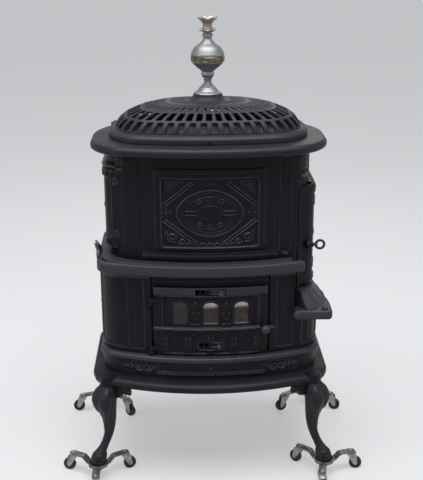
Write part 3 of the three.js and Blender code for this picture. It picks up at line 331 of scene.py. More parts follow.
def lathe(profile, count=48, centre=(0, 0), swell=None):
    """A profile of radius and height pairs turned about the upright axis. swell, from an array
    of angles and one of heights, multiplies the radius, as flutes or petals do."""
    radius, height = np.array(profile, dtype=float).T
    angle = np.arange(count) * TAU / count
    radius = radius[:, None] * np.ones(count)
    if swell is not None:
        radius = radius * swell(angle[None, :], height[:, None])
    x, y = centre[0] + radius * np.cos(angle), centre[1] + radius * np.sin(angle)
    return skin(stack(x, y, height[:, None]))


def smooth_profile(points, steps=5):
    """A Catmull-Rom curve through profile points, with steps pieces between each pair."""
    points = np.array(points, dtype=float)
    padded = np.concatenate([points[:1], points, points[-1:]])
    t = np.linspace(0, 1, steps, endpoint=False)[:, None]
    out = []
    for p0, p1, p2, p3 in zip(padded, padded[1:], padded[2:], padded[3:]):
        out.append(0.5 * (2 * p1 + (p2 - p0) * t + (2 * p0 - 5 * p1 + 4 * p2 - p3) * t ** 2
                          + (3 * p1 - p0 - 3 * p2 + p3) * t ** 3))
    return np.concatenate(out + [points[-1:]])


def closed_profile(points, axis=0.5):
    """A profile with a point near the axis added at each end, at the height of its neighbour."""
    return np.concatenate([[(axis, points[0][1])], points, [(axis, points[-1][1])]])


def tube(path, radius, sides=12, closed=False):
    """A round bar along a path. The section is carried from point to point without twist.
    radius may be one number or one for each point."""
    path = np.asarray(path, dtype=float)
    if closed:
        along = np.roll(path, -1, axis=0) - np.roll(path, 1, axis=0)
    else:
        along = np.gradient(path, axis=0)
    along /= np.linalg.norm(along, axis=1, keepdims=True)
    seed = np.array([0, 0, 1.0]) if abs(along[0, 2]) < 0.9 else np.array([1.0, 0, 0])
    side = np.cross(along[0], seed)
    sides_of = []
    for direction in along:
        side = side - direction * side.dot(direction)
        side = side / np.linalg.norm(side)
        sides_of.append(side)
    across = np.array(sides_of)
    up = np.cross(along, across)
    angle = np.arange(sides) * TAU / sides
    radius = np.broadcast_to(radius, len(path))[:, None, None]
    ring = (across[:, None] * np.cos(angle)[:, None] + up[:, None] * np.sin(angle)[:, None])
    return skin(path[:, None] + radius * ring, round_rows=closed, caps=not closed)


def rod(start, end, radius, sides=20, round_end=0.0):
    """A straight round bar between two points, with its edges eased by round_end."""
    start, end = np.array(start, dtype=float), np.array(end, dtype=float)
    length = np.linalg.norm(end - start)
    ease = round_end * np.array([1, 0.3, 0] if round_end else [0.0])
    at = np.concatenate([ease[::-1], length - ease])[:, None]
    radius = radius - np.concatenate([ease, ease[::-1]])
    return tube(start + (end - start) / length * at, radius, sides)


def inset_skin(outline, steps, place=stack):
    """A skin through copies of a flat outline of (u, v) points, anticlockwise. Each step has the
    copy's w and how far it is moved inwards; place turns u, v and w into x, y and z."""
    outline = np.asarray(outline, dtype=float)
    along = np.roll(outline, -1, axis=0) - np.roll(outline, 1, axis=0)
    along /= np.maximum(np.linalg.norm(along, axis=1, keepdims=True), 1e-9)
    inward = np.stack([-along[:, 1], along[:, 0]], axis=1)
    return skin(np.array([place(*(outline + inward * inset).T, w) for w, inset in steps]))


def slab(outline, low, high, ease=0.8, place=stack):
    """A flat outline given thickness along w from low to high, with its edges eased."""
    steps = ((low, ease), (low + ease, 0), (high - ease, 0), (high, ease))
    return inset_skin(outline, steps, place)


def oblong(u0, v0, u1, v1):
    """The outline of a rectangle, anticlockwise from its lowest corner."""
    return [(u0, v0), (u1, v0), (u1, v1), (u0, v1)]


def facing_front(u, v, w):
    """u to the right, v upwards, and w towards the viewer at the front."""
    return stack(u, -w, v)


def ball(centre, radius, rings=14, sides=28, squash=1.0):
    """A sphere, or a flattened one, whose axis is upright."""
    angle = np.linspace(-TAU / 4, TAU / 4, rings + 2)[1:-1]
    profile = [(radius * math.cos(a), centre[2] + squash * radius * math.sin(a)) for a in angle]
    return lathe(profile, sides, centre[:2])


def axis_lines(*stops):
    """Sorted grid lines from (start, end, spacing) stretches, without near doubles."""
    lines = np.concatenate([
        np.linspace(a, b, max(int(round(abs(b - a) / step)), 1) + 1) for a, b, step in stops])
    lines = np.unique(np.round(lines, 4))
    return lines[np.concatenate([[True], np.diff(lines) > 0.05])]


def cell_middles(across, up):
    """The middles of the cells between the lines of two axes, as grids."""
    return np.meshgrid((across[1:] + across[:-1]) / 2, (up[1:] + up[:-1]) / 2)


# ---- relief, in millimetres
def step(value, soft=1.0):
    """0 below -soft, 1 above soft, and a smooth S between."""
    t = np.clip((value / soft + 1) / 2, 0, 1)
    return t * t * (3 - 2 * t)


def box_inside(x, z, centre, half, corner=0.0):
    """How far a point is inside a rounded box, negative outside."""
    qx = np.abs(x - centre[0]) - half[0] + corner
    qz = np.abs(z - centre[1]) - half[1] + corner
    outside = np.hypot(np.maximum(qx, 0), np.maximum(qz, 0))
    return corner - outside - np.minimum(np.maximum(qx, qz), 0)


def oval_inside(x, z, centre, half, power=2.0):
    """Roughly how far a point is inside |x/a|^p + |z/b|^p = 1; p under 2 gives pointed ends."""
    level = (np.abs((x - centre[0]) / half[0]) ** power
             + np.abs((z - centre[1]) / half[1]) ** power) ** (1 / power)
    return (1 - level) * min(half)


def ridge(distance, half_width):
    """A round-topped ridge, 1 on its line: sqrt(1 - (distance / half width)^2)."""
    return np.sqrt(np.clip(1 - (distance / half_width) ** 2, 0, 1))


def stroke(x, z, path, half_width):
    """A ridge along a path of (x, z) points; half_width may taper along it."""
    path = np.asarray(path, dtype=float)
    half_width = np.broadcast_to(half_width, len(path))
    reach = half_width.max() + 1
    out = np.zeros(x.shape)
    near = ((x > path[:, 0].min() - reach) & (x < path[:, 0].max() + reach)
            & (z > path[:, 1].min() - reach) & (z < path[:, 1].max() + reach))
    gaps = np.hypot(x[near][:, None] - path[:, 0], z[near][:, None] - path[:, 1])
    out[near] = ridge((gaps / half_width).min(axis=1, initial=2.0), 1.0)
    return out


def highest(*heights):
    """The highest of several reliefs at each point."""
    return np.maximum.reduce(np.broadcast_arrays(*heights))


def line_path(*corners, count=50):
    """count points along straight lines between corners."""
    corners = np.array(corners, dtype=float)
    run = np.concatenate([[0], np.cumsum(np.hypot(*np.diff(corners, axis=0).T))])
    at = np.linspace(0, run[-1], count)
    return np.stack([np.interp(at, run, corners[:, 0]), np.interp(at, run, corners[:, 1])], axis=1)


def spiral(centre, start, end, angle, turns, count=60, flip=1):
    """A spiral of (x, z) points whose radius runs from start to end while it turns."""
    t = np.linspace(0, 1, count)
    turn = math.radians(angle) + t * TAU * turns
    radius = start + (end - start) * t
    return np.stack([centre[0] + flip * radius * np.cos(turn),
                     centre[1] + radius * np.sin(turn)], axis=1)


def curl(x, z, spot, start, end, angle, turns, thick, thin, flip=1):
    """A spiral's ridge, whose half width runs from thick to thin."""
    path = spiral(spot, start, end, angle, turns, flip=flip)
    return stroke(x, z, path, np.linspace(thick, thin, len(path)))


def leaf(u, v, lobes=4):
    """A lobed leaf: u across from -1 to 1, v from 0 at its stem to 1 at its tip. Its half width
    swells with each lobe, and its midrib and sloping veins stand up from a domed body."""
    inside = (v > 0) & (v < 1)
    v = np.clip(v, 0, 1)
    lobe = np.cos(TAU * lobes * (v - 0.2 * np.abs(u)))
    width = np.sin(math.pi * v ** 0.7) ** 0.7 * (0.84 + 0.16 * lobe)
    body = np.sqrt(np.clip(1 - (u / np.maximum(width, 0.001)) ** 2, 0, 1))
    return inside * body * (0.55 + 0.25 * lobe + 0.3 * np.exp(-(u / 0.1) ** 2))


def leaf_cross(dx, dz, upright, level):
    """Four leaves out of a middle, two along z and two along x. Each pair has its height, half
    width, start, length and lobes."""
    h = 0
    for side in (-1, 1):
        for across, along, (high, half, start, length, lobes) in (
                (dx, side * dz, upright), (dz, side * dx, level)):
            h = h + high * leaf(across / half, (along - start) / length, lobes)
    return h


def rosette(x, z, centre, radius, petals=8):
    """Round petals about a button: a ring of ridges whose height falls towards the rim."""
    dx, dz = x - centre[0], z - centre[1]
    r, angle = np.hypot(dx, dz) / radius, np.arctan2(dz, dx)
    petal = np.abs(np.cos(petals * angle / 2)) ** 0.6
    body = ridge(r - 0.58, 0.42) * petal * 0.8
    return np.maximum(body, ridge(r, 0.28))


def beads(x, z, level, pitch, radius):
    """A row of round beads along x at a level."""
    dx = (x / pitch - np.round(x / pitch)) * pitch
    return ridge(np.hypot(dx, z - level), radius)


def plateau(inside, rise, slope=2.0):
    """A raised field with a sloped edge, from how far a point is inside it."""
    return rise * step(inside, slope)


def pillow(inside, reach):
    """0 at an edge and 1 from reach inside it, on a quarter circle between."""
    return np.sqrt(np.clip(1 - (1 - np.clip(inside / reach, 0, 1)) ** 2, 0, 1))


def acanthus(across, up, half, tall, lobes=5):
    """A leaf that stands on up = 0 and curls over at its top: the lobed leaf, with a roll at the
    tip and a hollow under the roll."""
    roll = ridge(np.hypot(across / (0.75 * half), (up - tall) / (0.13 * tall)), 1.0)
    under = ridge(np.hypot(across / (0.7 * half), (up - 0.8 * tall) / (0.06 * tall)), 1.0)
    return np.maximum(leaf(across / half, up / tall, lobes), 1.5 * roll) - 0.7 * under


# ---- finishes
class Socket:
    """A value in a shader tree. Its operators add Math nodes."""

    def __init__(self, finish, link):
        self.finish, self.link = finish, link

    def _math(self, operation, *values):
        return self.finish.node("ShaderNodeMath", {"operation": operation},
                                dict(enumerate(values)))

    def __add__(self, other):
        return self._math("ADD", self, other)

    def __sub__(self, other):
        return self._math("SUBTRACT", self, other)

    def __rsub__(self, other):
        return self._math("SUBTRACT", other, self)

    def __mul__(self, other):
        return self._math("MULTIPLY", self, other)

    __radd__ = __add__
    __rmul__ = __mul__

    def clamped(self, low, high):
        """0 at low, 1 at high, and smooth between."""
        return self.finish.node("ShaderNodeMapRange", {"interpolation_type": "SMOOTHSTEP"},
                                {"Value": self, "From Min": low, "From Max": high})


class Finish:
    """A material, or a world, and its tree. node adds any node: its settings go first, then its
    sockets."""

    def __init__(self, name, kind="materials"):
        self.block = getattr(bpy.data, kind).new(name)
        self.block.use_nodes = True
        self.tree = self.block.node_tree
        self.tree.nodes.clear()
        self.place = self.node("ShaderNodeTexCoord", output="Object")

    def node(self, kind, settings=None, sockets=None, output=0):
        """The named output of a new node."""
        node = self.tree.nodes.new(kind)
        for key, value in (settings or {}).items():
            setattr(node, key, value)
        for key, value in (sockets or {}).items():
            if isinstance(value, Socket):
                self.tree.links.new(value.link, node.inputs[key])
            else:
                node.inputs[key].default_value = value
        return Socket(self, node.outputs[output]) if node.outputs else None

    def noise(self, scale, detail=3.0, stretch=(1, 1, 1), roughness=0.5):
        """Noise from 0 to 1 at a scale in features per metre, stretched by a Mapping node."""
        place = self.node("ShaderNodeMapping", sockets={"Vector": self.place, "Scale": stretch})
        return self.node("ShaderNodeTexNoise", sockets={
            "Vector": place, "Scale": scale, "Detail": detail, "Roughness": roughness})

    def mixed(self, factor, first, second):
        """A colour between two, each a linear triple or a Socket."""
        whole = lambda c: c if isinstance(c, Socket) else (*c, 1)
        return self.node("ShaderNodeMix", {"data_type": "RGBA"},
                         {0: factor, 6: whole(first), 7: whole(second)}, output=2)

    def proud(self):
        """How far the casting stands out here, from 0 to 1, with painted sheen added on some parts.
        """
        return self.node("ShaderNodeAttribute", {"attribute_name": "relief"}, output="Fac")

    def bump(self, height, distance, strength):
        """A normal for a height from 0 to 1 that stands distance metres proud at 1."""
        return self.node("ShaderNodeBump", sockets={
            "Height": height, "Distance": distance, "Strength": strength})

    def seen(self):
        """1 for what the camera sees, straight, by reflection or through glass, and 0 for what
        lights the stove."""
        camera, glossy, through = (self.node("ShaderNodeLightPath", output=f"Is {kind} Ray")
                                   for kind in ("Camera", "Glossy", "Transmission"))
        return camera + glossy + through

    def done(self, **sockets):
        """The surface shader; underscores in the names stand for spaces."""
        named = {key.replace("_", " "): value for key, value in sockets.items()}
        shader = self.node("ShaderNodeBsdfPrincipled", sockets=named, output="BSDF")
        self.node("ShaderNodeOutputMaterial", sockets={"Surface": shader})
        return self.block


def cast_iron(name, deep, rubbed, roughness=0.46, gloss=0.14, polish=0.0):
    """Stove-blacked cast iron: deep in the hollows, rubbed brighter and glossier where it stands
    proud, partly real rubbing and partly a painted highlight on raised work, with painted sheen
    where a part's relief value is raised; with sand-cast grain, slow cloudy rubbing of the polish
    and a little grey dust on it."""
    f = Finish(name)
    cloud, grain = f.noise(9, 4), f.noise(520, 3)
    pits = f.noise(160, 2)
    wear_and_sheen = (f.proud() * (0.55 + 0.6 * cloud)).clamped(0.05, 1.0)
    dust = (cloud * 0.5 + f.noise(60, 4) * 0.5).clamped(0.52, 0.8) * 0.1
    colour = f.mixed(dust, f.mixed(wear_and_sheen, deep, rubbed), tuple(0.7 * c + 0.016 for c in rubbed))
    rough = roughness + 0.16 * (cloud - 0.5) + 0.1 * (grain - 0.5) - 0.1 * wear_and_sheen
    height = grain * 0.6 + pits.clamped(0.35, 0.6) * 0.5
    return f.done(Base_Color=colour, Roughness=rough, Specular_IOR_Level=gloss,
                  Coat_Weight=polish + 0.35 * wear_and_sheen, Coat_Roughness=0.3,
                  Normal=f.bump(height, 0.00035, 0.55))


def nickel(name, colour, tarnish):
    """Nickel plate: bright, with soft brushing marks and a warm haze where it has dulled."""
    f = Finish(name)
    haze = f.noise(26, 4).clamped(0.4, 0.75)
    lines = f.noise(700, 2, (1, 1, 6))
    tone = f.mixed(haze * 0.6, colour, tarnish)
    return f.done(Base_Color=tone, Metallic=1.0, Roughness=0.44 + 0.14 * haze + 0.05 * lines,
                  Normal=f.bump(lines, 0.00008, 0.4))


def gilt(name, colour, worn_and_sheen):
    """Gilt band: a bronze gold with darker rubbed patches."""
    f = Finish(name)
    patch = f.noise(70, 4).clamped(0.42, 0.66)
    return f.done(Base_Color=f.mixed(patch, colour, worn_and_sheen), Metallic=0.9,
                  Roughness=0.36 + 0.15 * patch, Normal=f.bump(f.noise(600), 0.0001, 0.4))


def mica_tint(name, colour, pale):
    """Fire-browned mica: cloudy dark flakes, with a painted reflection in broken pale patches under
    the arched heads, and a paler line along the foot; the sheet behind the left window is greener."""
    f = Finish(name)
    height = f.node("ShaderNodeSeparateXYZ", sockets={"Vector": f.place}, output="Z")
    across = f.node("ShaderNodeSeparateXYZ", sockets={"Vector": f.place}, output="X")
    cloud, flake = f.noise(70, 5, (1, 1, 1.6)), f.noise(260, 4)
    # Painted reflection: pale patches under the arched heads, weaker on the left window.
    head_reflection = (height + 0.02 * (cloud - 0.5) + 0.008 * (flake - 0.5)).clamped(0.564, 0.581)
    burnt = (cloud * 0.6 + flake * 0.4).clamped(0.4, 0.6)
    body = f.mixed(burnt, colour, shaded(colour, 0.35))
    body = f.mixed(0.3 - 0.3 * height.clamped(0.5165, 0.519), body, pale)
    left = 1 - across.clamped(-0.075, -0.045)
    toned = f.mixed(head_reflection * (1 - 0.8 * left), body, pale)
    toned = f.mixed(left * 0.8, toned, (0.017, 0.0175, 0.0155))
    return f.done(Base_Color=toned, Roughness=0.22 + 0.25 * cloud, Specular_IOR_Level=0.25,
                  Coat_Weight=0.12, Coat_Roughness=0.08, Normal=f.bump(cloud, 0.0006, 0.5))


def plated_steel(name, colour, dull, roughness=0.34):
    """Zinc plate or bare sheet: a spangle of small grey patches, with duller soiled areas."""
    f = Finish(name)
    spangle = f.node("ShaderNodeTexVoronoi", sockets={"Vector": f.place, "Scale": 260.0},
                     output="Distance")
    soil = f.noise(45, 4).clamped(0.5, 0.72)
    tone = f.mixed(soil, colour, dull)
    return f.done(Base_Color=tone, Metallic=0.95,
                  Roughness=roughness + 0.18 * soil + 0.12 * spangle,
                  Normal=f.bump(f.noise(400), 0.0001, 0.4))


def tyre(name, colour):
    """Hard black caster tread with dust in its grain."""
    f = Finish(name)
    dust = f.noise(90, 4).clamped(0.5, 0.78)
    return f.done(Base_Color=f.mixed(dust * 0.5, colour, (0.06, 0.057, 0.052)),
                  Roughness=0.55 + 0.2 * dust, Normal=f.bump(f.noise(500), 0.00015, 0.4))


class StoveSizes(bpy.types.PropertyGroup):
    """Sizes and counts of the ornament, which leave the castings' own sizes alone."""

    ornament: bpy.props.FloatProperty(
        name="Ornament height", description="Height of the cast ornament against the usual",
        subtype="FACTOR", default=1.0, min=0.2, max=1.5)
    reed_pitch: bpy.props.FloatProperty(
        name="Reed pitch", description="From one reed of a column to the next",
        unit="LENGTH", default=0.019, min=0.01, max=0.03, precision=4)
    reed_depth: bpy.props.FloatProperty(
        name="Reed depth", description="How far a reed stands out of its panel",
        unit="LENGTH", default=0.0024, min=0.0005, max=0.0045, precision=4)
    bead_pitch: bpy.props.FloatProperty(
        name="Bead pitch", description="From one bead of the base to the next",
        unit="LENGTH", default=0.0094, min=0.006, max=0.03, precision=4)
    dome_windows: bpy.props.IntProperty(
        name="Dome windows", description="Windows in each row round the dome",
        default=44, min=24, max=60)
    flutes: bpy.props.IntProperty(
        name="Flutes", description="Flutes round the cup of the finial", default=28, min=8, max=48)
    petals: bpy.props.IntProperty(
        name="Petals", description="Petals of the finial's flower", default=6, min=4, max=12)
    ring_bar: bpy.props.FloatProperty(
        name="Ring bar", description="Radius of the bar of the feed door's ring",
        unit="LENGTH", default=0.004, min=0.002, max=0.005, precision=4)


class StoveFinishes(bpy.types.PropertyGroup):
    """Colours of the finishes, as linear light."""

    iron: bpy.props.FloatVectorProperty(
        name="Iron in hollows", description="Stove-blacked iron away from wear",
        subtype="COLOR", size=3, min=0, max=1, default=(0.0062, 0.0058, 0.0088))
    # Used where the relief value is high: real rubbing on edges and raised work, and a painted
    # sheen on parts given a raised value.
    iron_rubbed_and_sheen: bpy.props.FloatVectorProperty(
        name="Iron where rubbed", description="Stove-blacked iron on edges and raised work",
        subtype="COLOR", size=3, min=0, max=1, default=(0.047, 0.046, 0.06))
    # Lighter than the body iron: partly smoother rubbed iron, and partly a painted sheen on the
    # rims and rails.
    rail_iron: bpy.props.FloatVectorProperty(
        name="Rail iron", description="Smoother iron of the rims and rails",
        subtype="COLOR", size=3, min=0, max=1, default=(0.0275, 0.027, 0.038))
    nickel: bpy.props.FloatVectorProperty(
        name="Nickel", description="Finial plate", subtype="COLOR", size=3, min=0, max=1,
        default=(0.235, 0.245, 0.258))
    gilt: bpy.props.FloatVectorProperty(
        name="Gilt", description="Band round the finial", subtype="COLOR", size=3, min=0, max=1,
        default=(0.17, 0.14, 0.1))
    mica: bpy.props.FloatVectorProperty(
        name="Mica", description="Fire-browned windows", subtype="COLOR", size=3, min=0, max=1,
        default=(0.05, 0.031, 0.026))
    zinc: bpy.props.FloatVectorProperty(
        name="Zinc", description="Plate on the dollies", subtype="COLOR", size=3, min=0, max=1,
        default=(0.35, 0.342, 0.325))
    floor: bpy.props.FloatVectorProperty(
        name="Floor", description="Pale floor under the stove", subtype="COLOR", size=3,
        min=0, max=1, default=(0.33, 0.332, 0.338))


def shaded(colour, share):
    """A colour with its light cut to a share of it."""
    return tuple(share * c for c in colour)


def finish(name):
    """The material of that name, made the first time it is asked for."""
    if name in bpy.data.materials:
        return bpy.data.materials[name]
    c = bpy.context.scene.stove_finishes
    makers = {
        "blacked_iron": (cast_iron, c.iron, c.iron_rubbed_and_sheen),
        # Rail iron's lighter colour is partly a painted sheen on the belt, the hearth and the
        # handles.
        "rail_iron": (cast_iron, c.rail_iron, c.iron_rubbed_and_sheen, 0.54, 0.26, 0.1),
        # Rail iron darkened to a third: painted shade on the top plate and the legs.
        "rim_iron": (cast_iron, shaded(c.rail_iron, 0.32), c.iron_rubbed_and_sheen, 0.5, 0.22, 0.06),
        # Rail iron darkened to half: painted shade on the dome.
        "dome_iron": (cast_iron, shaded(c.rail_iron, 0.5), c.iron_rubbed_and_sheen, 0.52, 0.24, 0.06),
        "brushed_nickel": (nickel, c.nickel, (0.34, 0.31, 0.26)),
        "aged_nickel": (nickel, (0.42, 0.375, 0.335), (0.09, 0.075, 0.062)),
        "dark_nickel": (nickel, (0.3, 0.31, 0.325), (0.12, 0.115, 0.11)),
        "rubbed_gilt": (gilt, c.gilt, (0.07, 0.06, 0.045)),
        # The pale colour is that of the painted reflection in the windows' heads.
        "browned_mica": (mica_tint, c.mica, (0.92, 0.86, 0.8)),
        "spangled_zinc": (plated_steel, c.zinc, (0.2, 0.185, 0.165)),
        "browned_steel": (plated_steel, (0.2, 0.172, 0.155), (0.085, 0.066, 0.056), 0.36),
        "soiled_steel": (plated_steel, (0.2, 0.2, 0.205), (0.08, 0.075, 0.07), 0.4),
        "caster_tread": (tyre, (0.012, 0.012, 0.013)),
    }
    maker, *settings = makers[name]
    return maker(name, *settings)


# ---- base and legs
def base_relief(size, plan, s, z):
    """Front band of the base: two long sunk bars with a raised rim and a stop between them, a
    row of beads below, and scrolls with leaves near each corner. The back stays plain."""
    x = plan.at(s)[0]
    front = np.abs(np.mod(s + plan.length / 2, plan.length) - plan.length / 2) < plan.length / 4
    h = np.zeros(s.shape)
    for side in (-1, 1):
        inside = box_inside(x, z, (side * 84, 371), (77, 12.5), 5)
        h += 2.2 * ridge(inside, 2.6) - plateau(inside, 4.4, 1.6)
        h += 3 * ridge(box_inside(x, z, (side * 84, 371), (68, 2.2), 2) - 1, 3)
        for flip in (-1, 1):
            h = highest(h, 4.8 * curl(x, z, (side * (207 + flip * 12), 368), 13, 2.5, 200, 1.35,
                                      3.8, 2, -flip * side))
        h = highest(h, 4.6 * leaf((z - 368) / 13, (side * x - 226) / 44, 3),
                    4.6 * leaf((z - 368) / 11, (188 - side * x) / 24, 2))
    h = highest(h, 4.4 * ridge(np.hypot(x, (z - 371) * 0.8), 7),
                3.6 * beads(x, z, 348.5, size.bead_pitch / MM, 4.1) * (np.abs(x) < 165),
                2 * ridge(z - 355.2, 1.8) * (np.abs(x) < 168))
    return np.where(front, h, 0) * size.ornament


def base_casting(size):
    """The base casting. Its outside is a stack of plans: a flared skirt ring with a round nose,
    a sunk ornamental band and a round rail; its underside is the hollow."""
    skirt = nosed(SKIRT_PLAN, (-7, -7, 307.2), (-3.4, -3.4, 308.6), (-1, -1, 311.5), (0, 0, 316),
                  (0, -0.5, 323), (-0.6, -3, 327.5), (-2.4, -9, 331.8), (-5, -16, 335))
    band = LOWER_PLAN.grown(0, 6)
    inner = band.grown(-WALL)
    levels = np.concatenate([[337.5, 339, 340.5], np.linspace(342, 389, 34), [391]])
    s, z = np.meshgrid(np.linspace(0, band.length, 900, endpoint=False), levels)
    # A value of 0.3 lightens the whole band: painted light on a band that lies in the rail's shade.
    shape = Shape().add(*wall(band, s, z, base_relief(size, band, s, z), closed=True, worn_and_sheen=0.3))
    rail = nosed(RAIL_PLAN, (-10, -10, 390.5), (-5.5, -6, 391.5), (-2.2, -2.6, 394),
                 (-0.4, -0.6, 398), (0, 0, 402), (-0.8, -1.2, 406.5), (-3, -3.8, 410),
                 (-6.5, -7.5, 411.8))
    floor = LOWER_PLAN.grown(-24)
    rail += [(floor, 411.9), (floor, 404), (inner, 404), (inner, 390.5)]
    # The rail's constant relief value of 0.62 paints a sheen over it.
    shape.add(*sweep(rail, 520), 0.62)
    skirt += [(band.grown(-3), 337.4), (inner, 337.3), (inner, 328),
              (SKIRT_PLAN.grown(-16, -30), 327), (SKIRT_PLAN.grown(-9), 314),
              (SKIRT_PLAN.grown(-13), 307.2)]
    # The skirt's constant relief value of 0.3 paints a sheen over it.
    shape.add(*sweep(skirt, 520), 0.3)
    for sx, sy in QUARTERS:
        shape.add(*lathe([(27, 307.1), (27, BAND)], 32, (sx * KNEE[0], sy * KNEE[1])))
    deck = inner.grown(0.5)
    shape.add(*sweep([(deck, 404), (deck, 411.8)], 260, closed=False))
    shape.stand("base_casting_cast", "stove", "blacked_iron", "base_casting")


def leg_shape(size):
    """One cabriole leg for the back right corner; the others are its mirror images. Level
    sections run through a smooth curve; each is a rounded lozenge along the diagonal. A
    rounded boss with a faint leaf swells out of each of the knee's two faces, and a cuff rings
    the foot."""
    sections = np.array([
        (0, 358, 235, 20, 20), (3, 358, 235, 24, 24), (13, 358, 235, 24.5, 24.5),
        (17, 358, 235, 22.5, 22.5), (21, 357.5, 234.5, 24, 23.5), (36, 354, 232, 22.5, 21.5),
        (40, 353, 231.5, 19, 18), (58, 341, 222, 14.5, 13.5), (80, 330, 213, 14, 13),
        (104, 323, 207, 15.5, 14.5), (130, 321, 204, 18.5, 17.5), (156, 323, 204, 23, 22),
        (186, 329, 206, 30.5, 29), (216, 331, 205.5, 34.5, 33), (240, 327, 200, 33, 31),
        (260.2, 320, 192, 28, 25)])
    height, cx, cy, along, across = smooth_profile(sections, 9).T
    angle = np.arange(110) * TAU / 110  # 0 points outwards along the corner's diagonal
    c, s = np.cos(angle), np.sin(angle)
    h, a = np.meshgrid(height, angle, indexing="ij")
    relief = np.zeros(h.shape)
    for side in (-1, 1):
        u = (np.mod(a - side * TAU / 8 + TAU / 2, TAU) - TAU / 2) * 31
        boss = ridge(np.hypot(u / 21, (h - 210) / 44), 1.0)
        relief = relief + 7 * boss + 1.3 * leaf(u / 14, (h - 170) / 78, 4) * (boss > 0.35)
        relief = relief + 2.4 * leaf(u / 8, (150 - h) / 46, 3)
        relief = relief + 3 * ridge(np.hypot(u, h - 158), 5.5)
    relief = size.ornament * (relief + 1.4 * np.exp(-(s / 0.16) ** 2) * (c > 0) * step(140 - h, 20)
                              * step(h - 44, 6))
    u = along[:, None] * np.abs(c) ** 0.86 * np.sign(c) + relief * c
    v = across[:, None] * np.abs(s) ** 0.86 * np.sign(s) + relief * s
    half = math.sqrt(0.5)  # cosine and sine of the diagonal
    x, y = cx[:, None] + half * (u - v), cy[:, None] + half * (u + v)
    points, faces = skin(stack(x, y, 46.4 + height[:, None] + 0 * x))
    return Shape().add(points, faces, np.append(rubbed(relief), [0, 0]))


def leg_bracket(end):
    """A wing from the knee along the skirt ring towards end: an S-shaped lower edge with a bead
    along it, a volute boss and a drop at its tip."""
    start = np.array(KNEE)
    run = np.array(end, dtype=float) - start
    length = float(np.hypot(*run))
    along = run / length
    t = np.linspace(0, 1, 40)
    drop = 64 * (1 - t) ** 1.6 + 9 + 5 * np.sin(TAU * t * 1.25)
    outline = np.stack([np.append(t, t[::-1]) * length, np.append(306.6 - drop, 0 * t + 306.6)],
                       axis=1)

    def place(u, v, w):
        """u along the wing, v upwards and w across it."""
        return stack(start[0] + along[0] * u + along[1] * w, start[1] + along[1] * u - along[0] * w,
                     v)

    shape = Shape().add(*slab(outline, -4.5, 4.5, 1.2, place))
    volute = spiral((36, 283), 14, 3, 160, 1.4)
    for side in (-4.2, 4.2):
        shape.add(*tube(place(t * length, 306.6 - drop + 3, side + 0 * t), 3.1, 10))
        shape.add(*tube(place(*volute.T, np.full(60, side)), np.linspace(3.4, 2, 60), 10))
    for u, v, radius in ((length - 5, 290, 7), (length - 17, 288, 6), (length - 28, 287, 5)):
        shape.add(*ball(place(u, v, 0).ravel(), radius, 12, 24))
    return shape


def legs(size):
    """Four legs: the back right one, mirrored to the other corners by changing the signs of x
    and y. Where one sign changes, the faces turn round again."""
    parts = (leg_shape(size), leg_bracket((250, 232)), leg_bracket((364, 118)))
    for sx, sy, corner in CORNERS:
        shape = Shape()
        for part in parts:
            faces = part.faces if sx * sy > 0 else [face[:, ::-1] for face in part.faces]
            shape.add(np.concatenate(part.points) * (sx, sy, 1), faces,
                      np.concatenate(part.relief))
        shape.stand(f"leg_{corner}_cast", "stove", "rim_iron", f"leg_{corner}")


# ---- lower body
def reeds(x, z, edges, low, high, depth):
    """Upright reeds between x edges: between one edge and the next the face is a round-topped
    reed that dies away near its low and high ends."""
    h = np.zeros(x.shape)
    ends = step(z - low - 3, 4) * step(high - 3 - z, 4)
    for a, b in zip(edges, edges[1:]):
        half = (b - a) / 2
        h = np.maximum(h, depth * ridge(x - (a + b) / 2, half * 0.96))
    return h * ends


def column_relief(size, s, z, near, far, low, high):
    """Corner column from its edge near the seam to its far edge: a plain fillet, then a sunk
    panel with one or two soft reeds and a plain field beyond them."""
    along = (s - near) * np.sign(far - near)
    width = abs(far - near)
    pitch = size.reed_pitch / MM
    inside = box_inside(along, z, ((24 + width) / 2, (low + high) / 2),
                        ((width - 24) / 2, (high - low) / 2), 3)
    count = 2 if width > 90 else 1
    edges = 40 + pitch * np.arange(count + 1)
    return reeds(along, z, edges, low, high, size.reed_depth / MM) - plateau(inside, 3.2, 2.5)


def side_panel(s, z, middle, half, low, high):
    """A raised side panel: a rounded frame, a sunk field and a round medallion of petals with
    four leaves about it."""
    centre = (middle, (low + high) / 2)
    tall = (high - low) / 2
    outer = box_inside(s, z, centre, (half, tall), 16)
    inner = box_inside(s, z, centre, (half - 18, tall - 18), 10)
    h = plateau(outer, 4) - plateau(inner, 3.2) + 1.3 * ridge(inner, 2.6)
    h = h + 3 * rosette(s, z, centre, min(half - 26, tall - 26) * 0.52, 12)
    return h + leaf_cross(s - middle, z - centre[1], (2.4, 24, 0.32 * tall, 0.5 * tall, 4),
                          (2.4, 20, 0.34 * half, 0.48 * half, 4))


def lower_front_frame():
    """The frame behind the front door, set back between the columns, open below for the pan."""
    plan = LOWER_PLAN
    xs = axis_lines((-195, -160, 2.5), (-160, 160, 5), (160, 195, 2.5))
    zs = axis_lines((FLOOR + GAP, 628, 6), (628, BELT - GAP, 2.5))
    x, z = np.meshgrid(xs, zs)
    mx, mz = cell_middles(xs, zs)
    keep = ~((np.abs(mx) < 160) & (mz < 628))
    h = 1.4 * ridge(z - 652, 5) + 1.0 * ridge(np.abs(x) - 177, 2.5)
    shape = Shape().add(*wall(plan, plan.front(x), z, h, keep=keep, offset=-8.4))
    shape.stand("lower_front_frame_cast", "stove", "blacked_iron", "lower_front_frame")


DOOR_HINGES, FEED_HINGES = (577, 418), (720, 880)  # levels of the lugs' undersides
FEED_PIN = (262, 187)
LUG = 9.5  # height of a lug


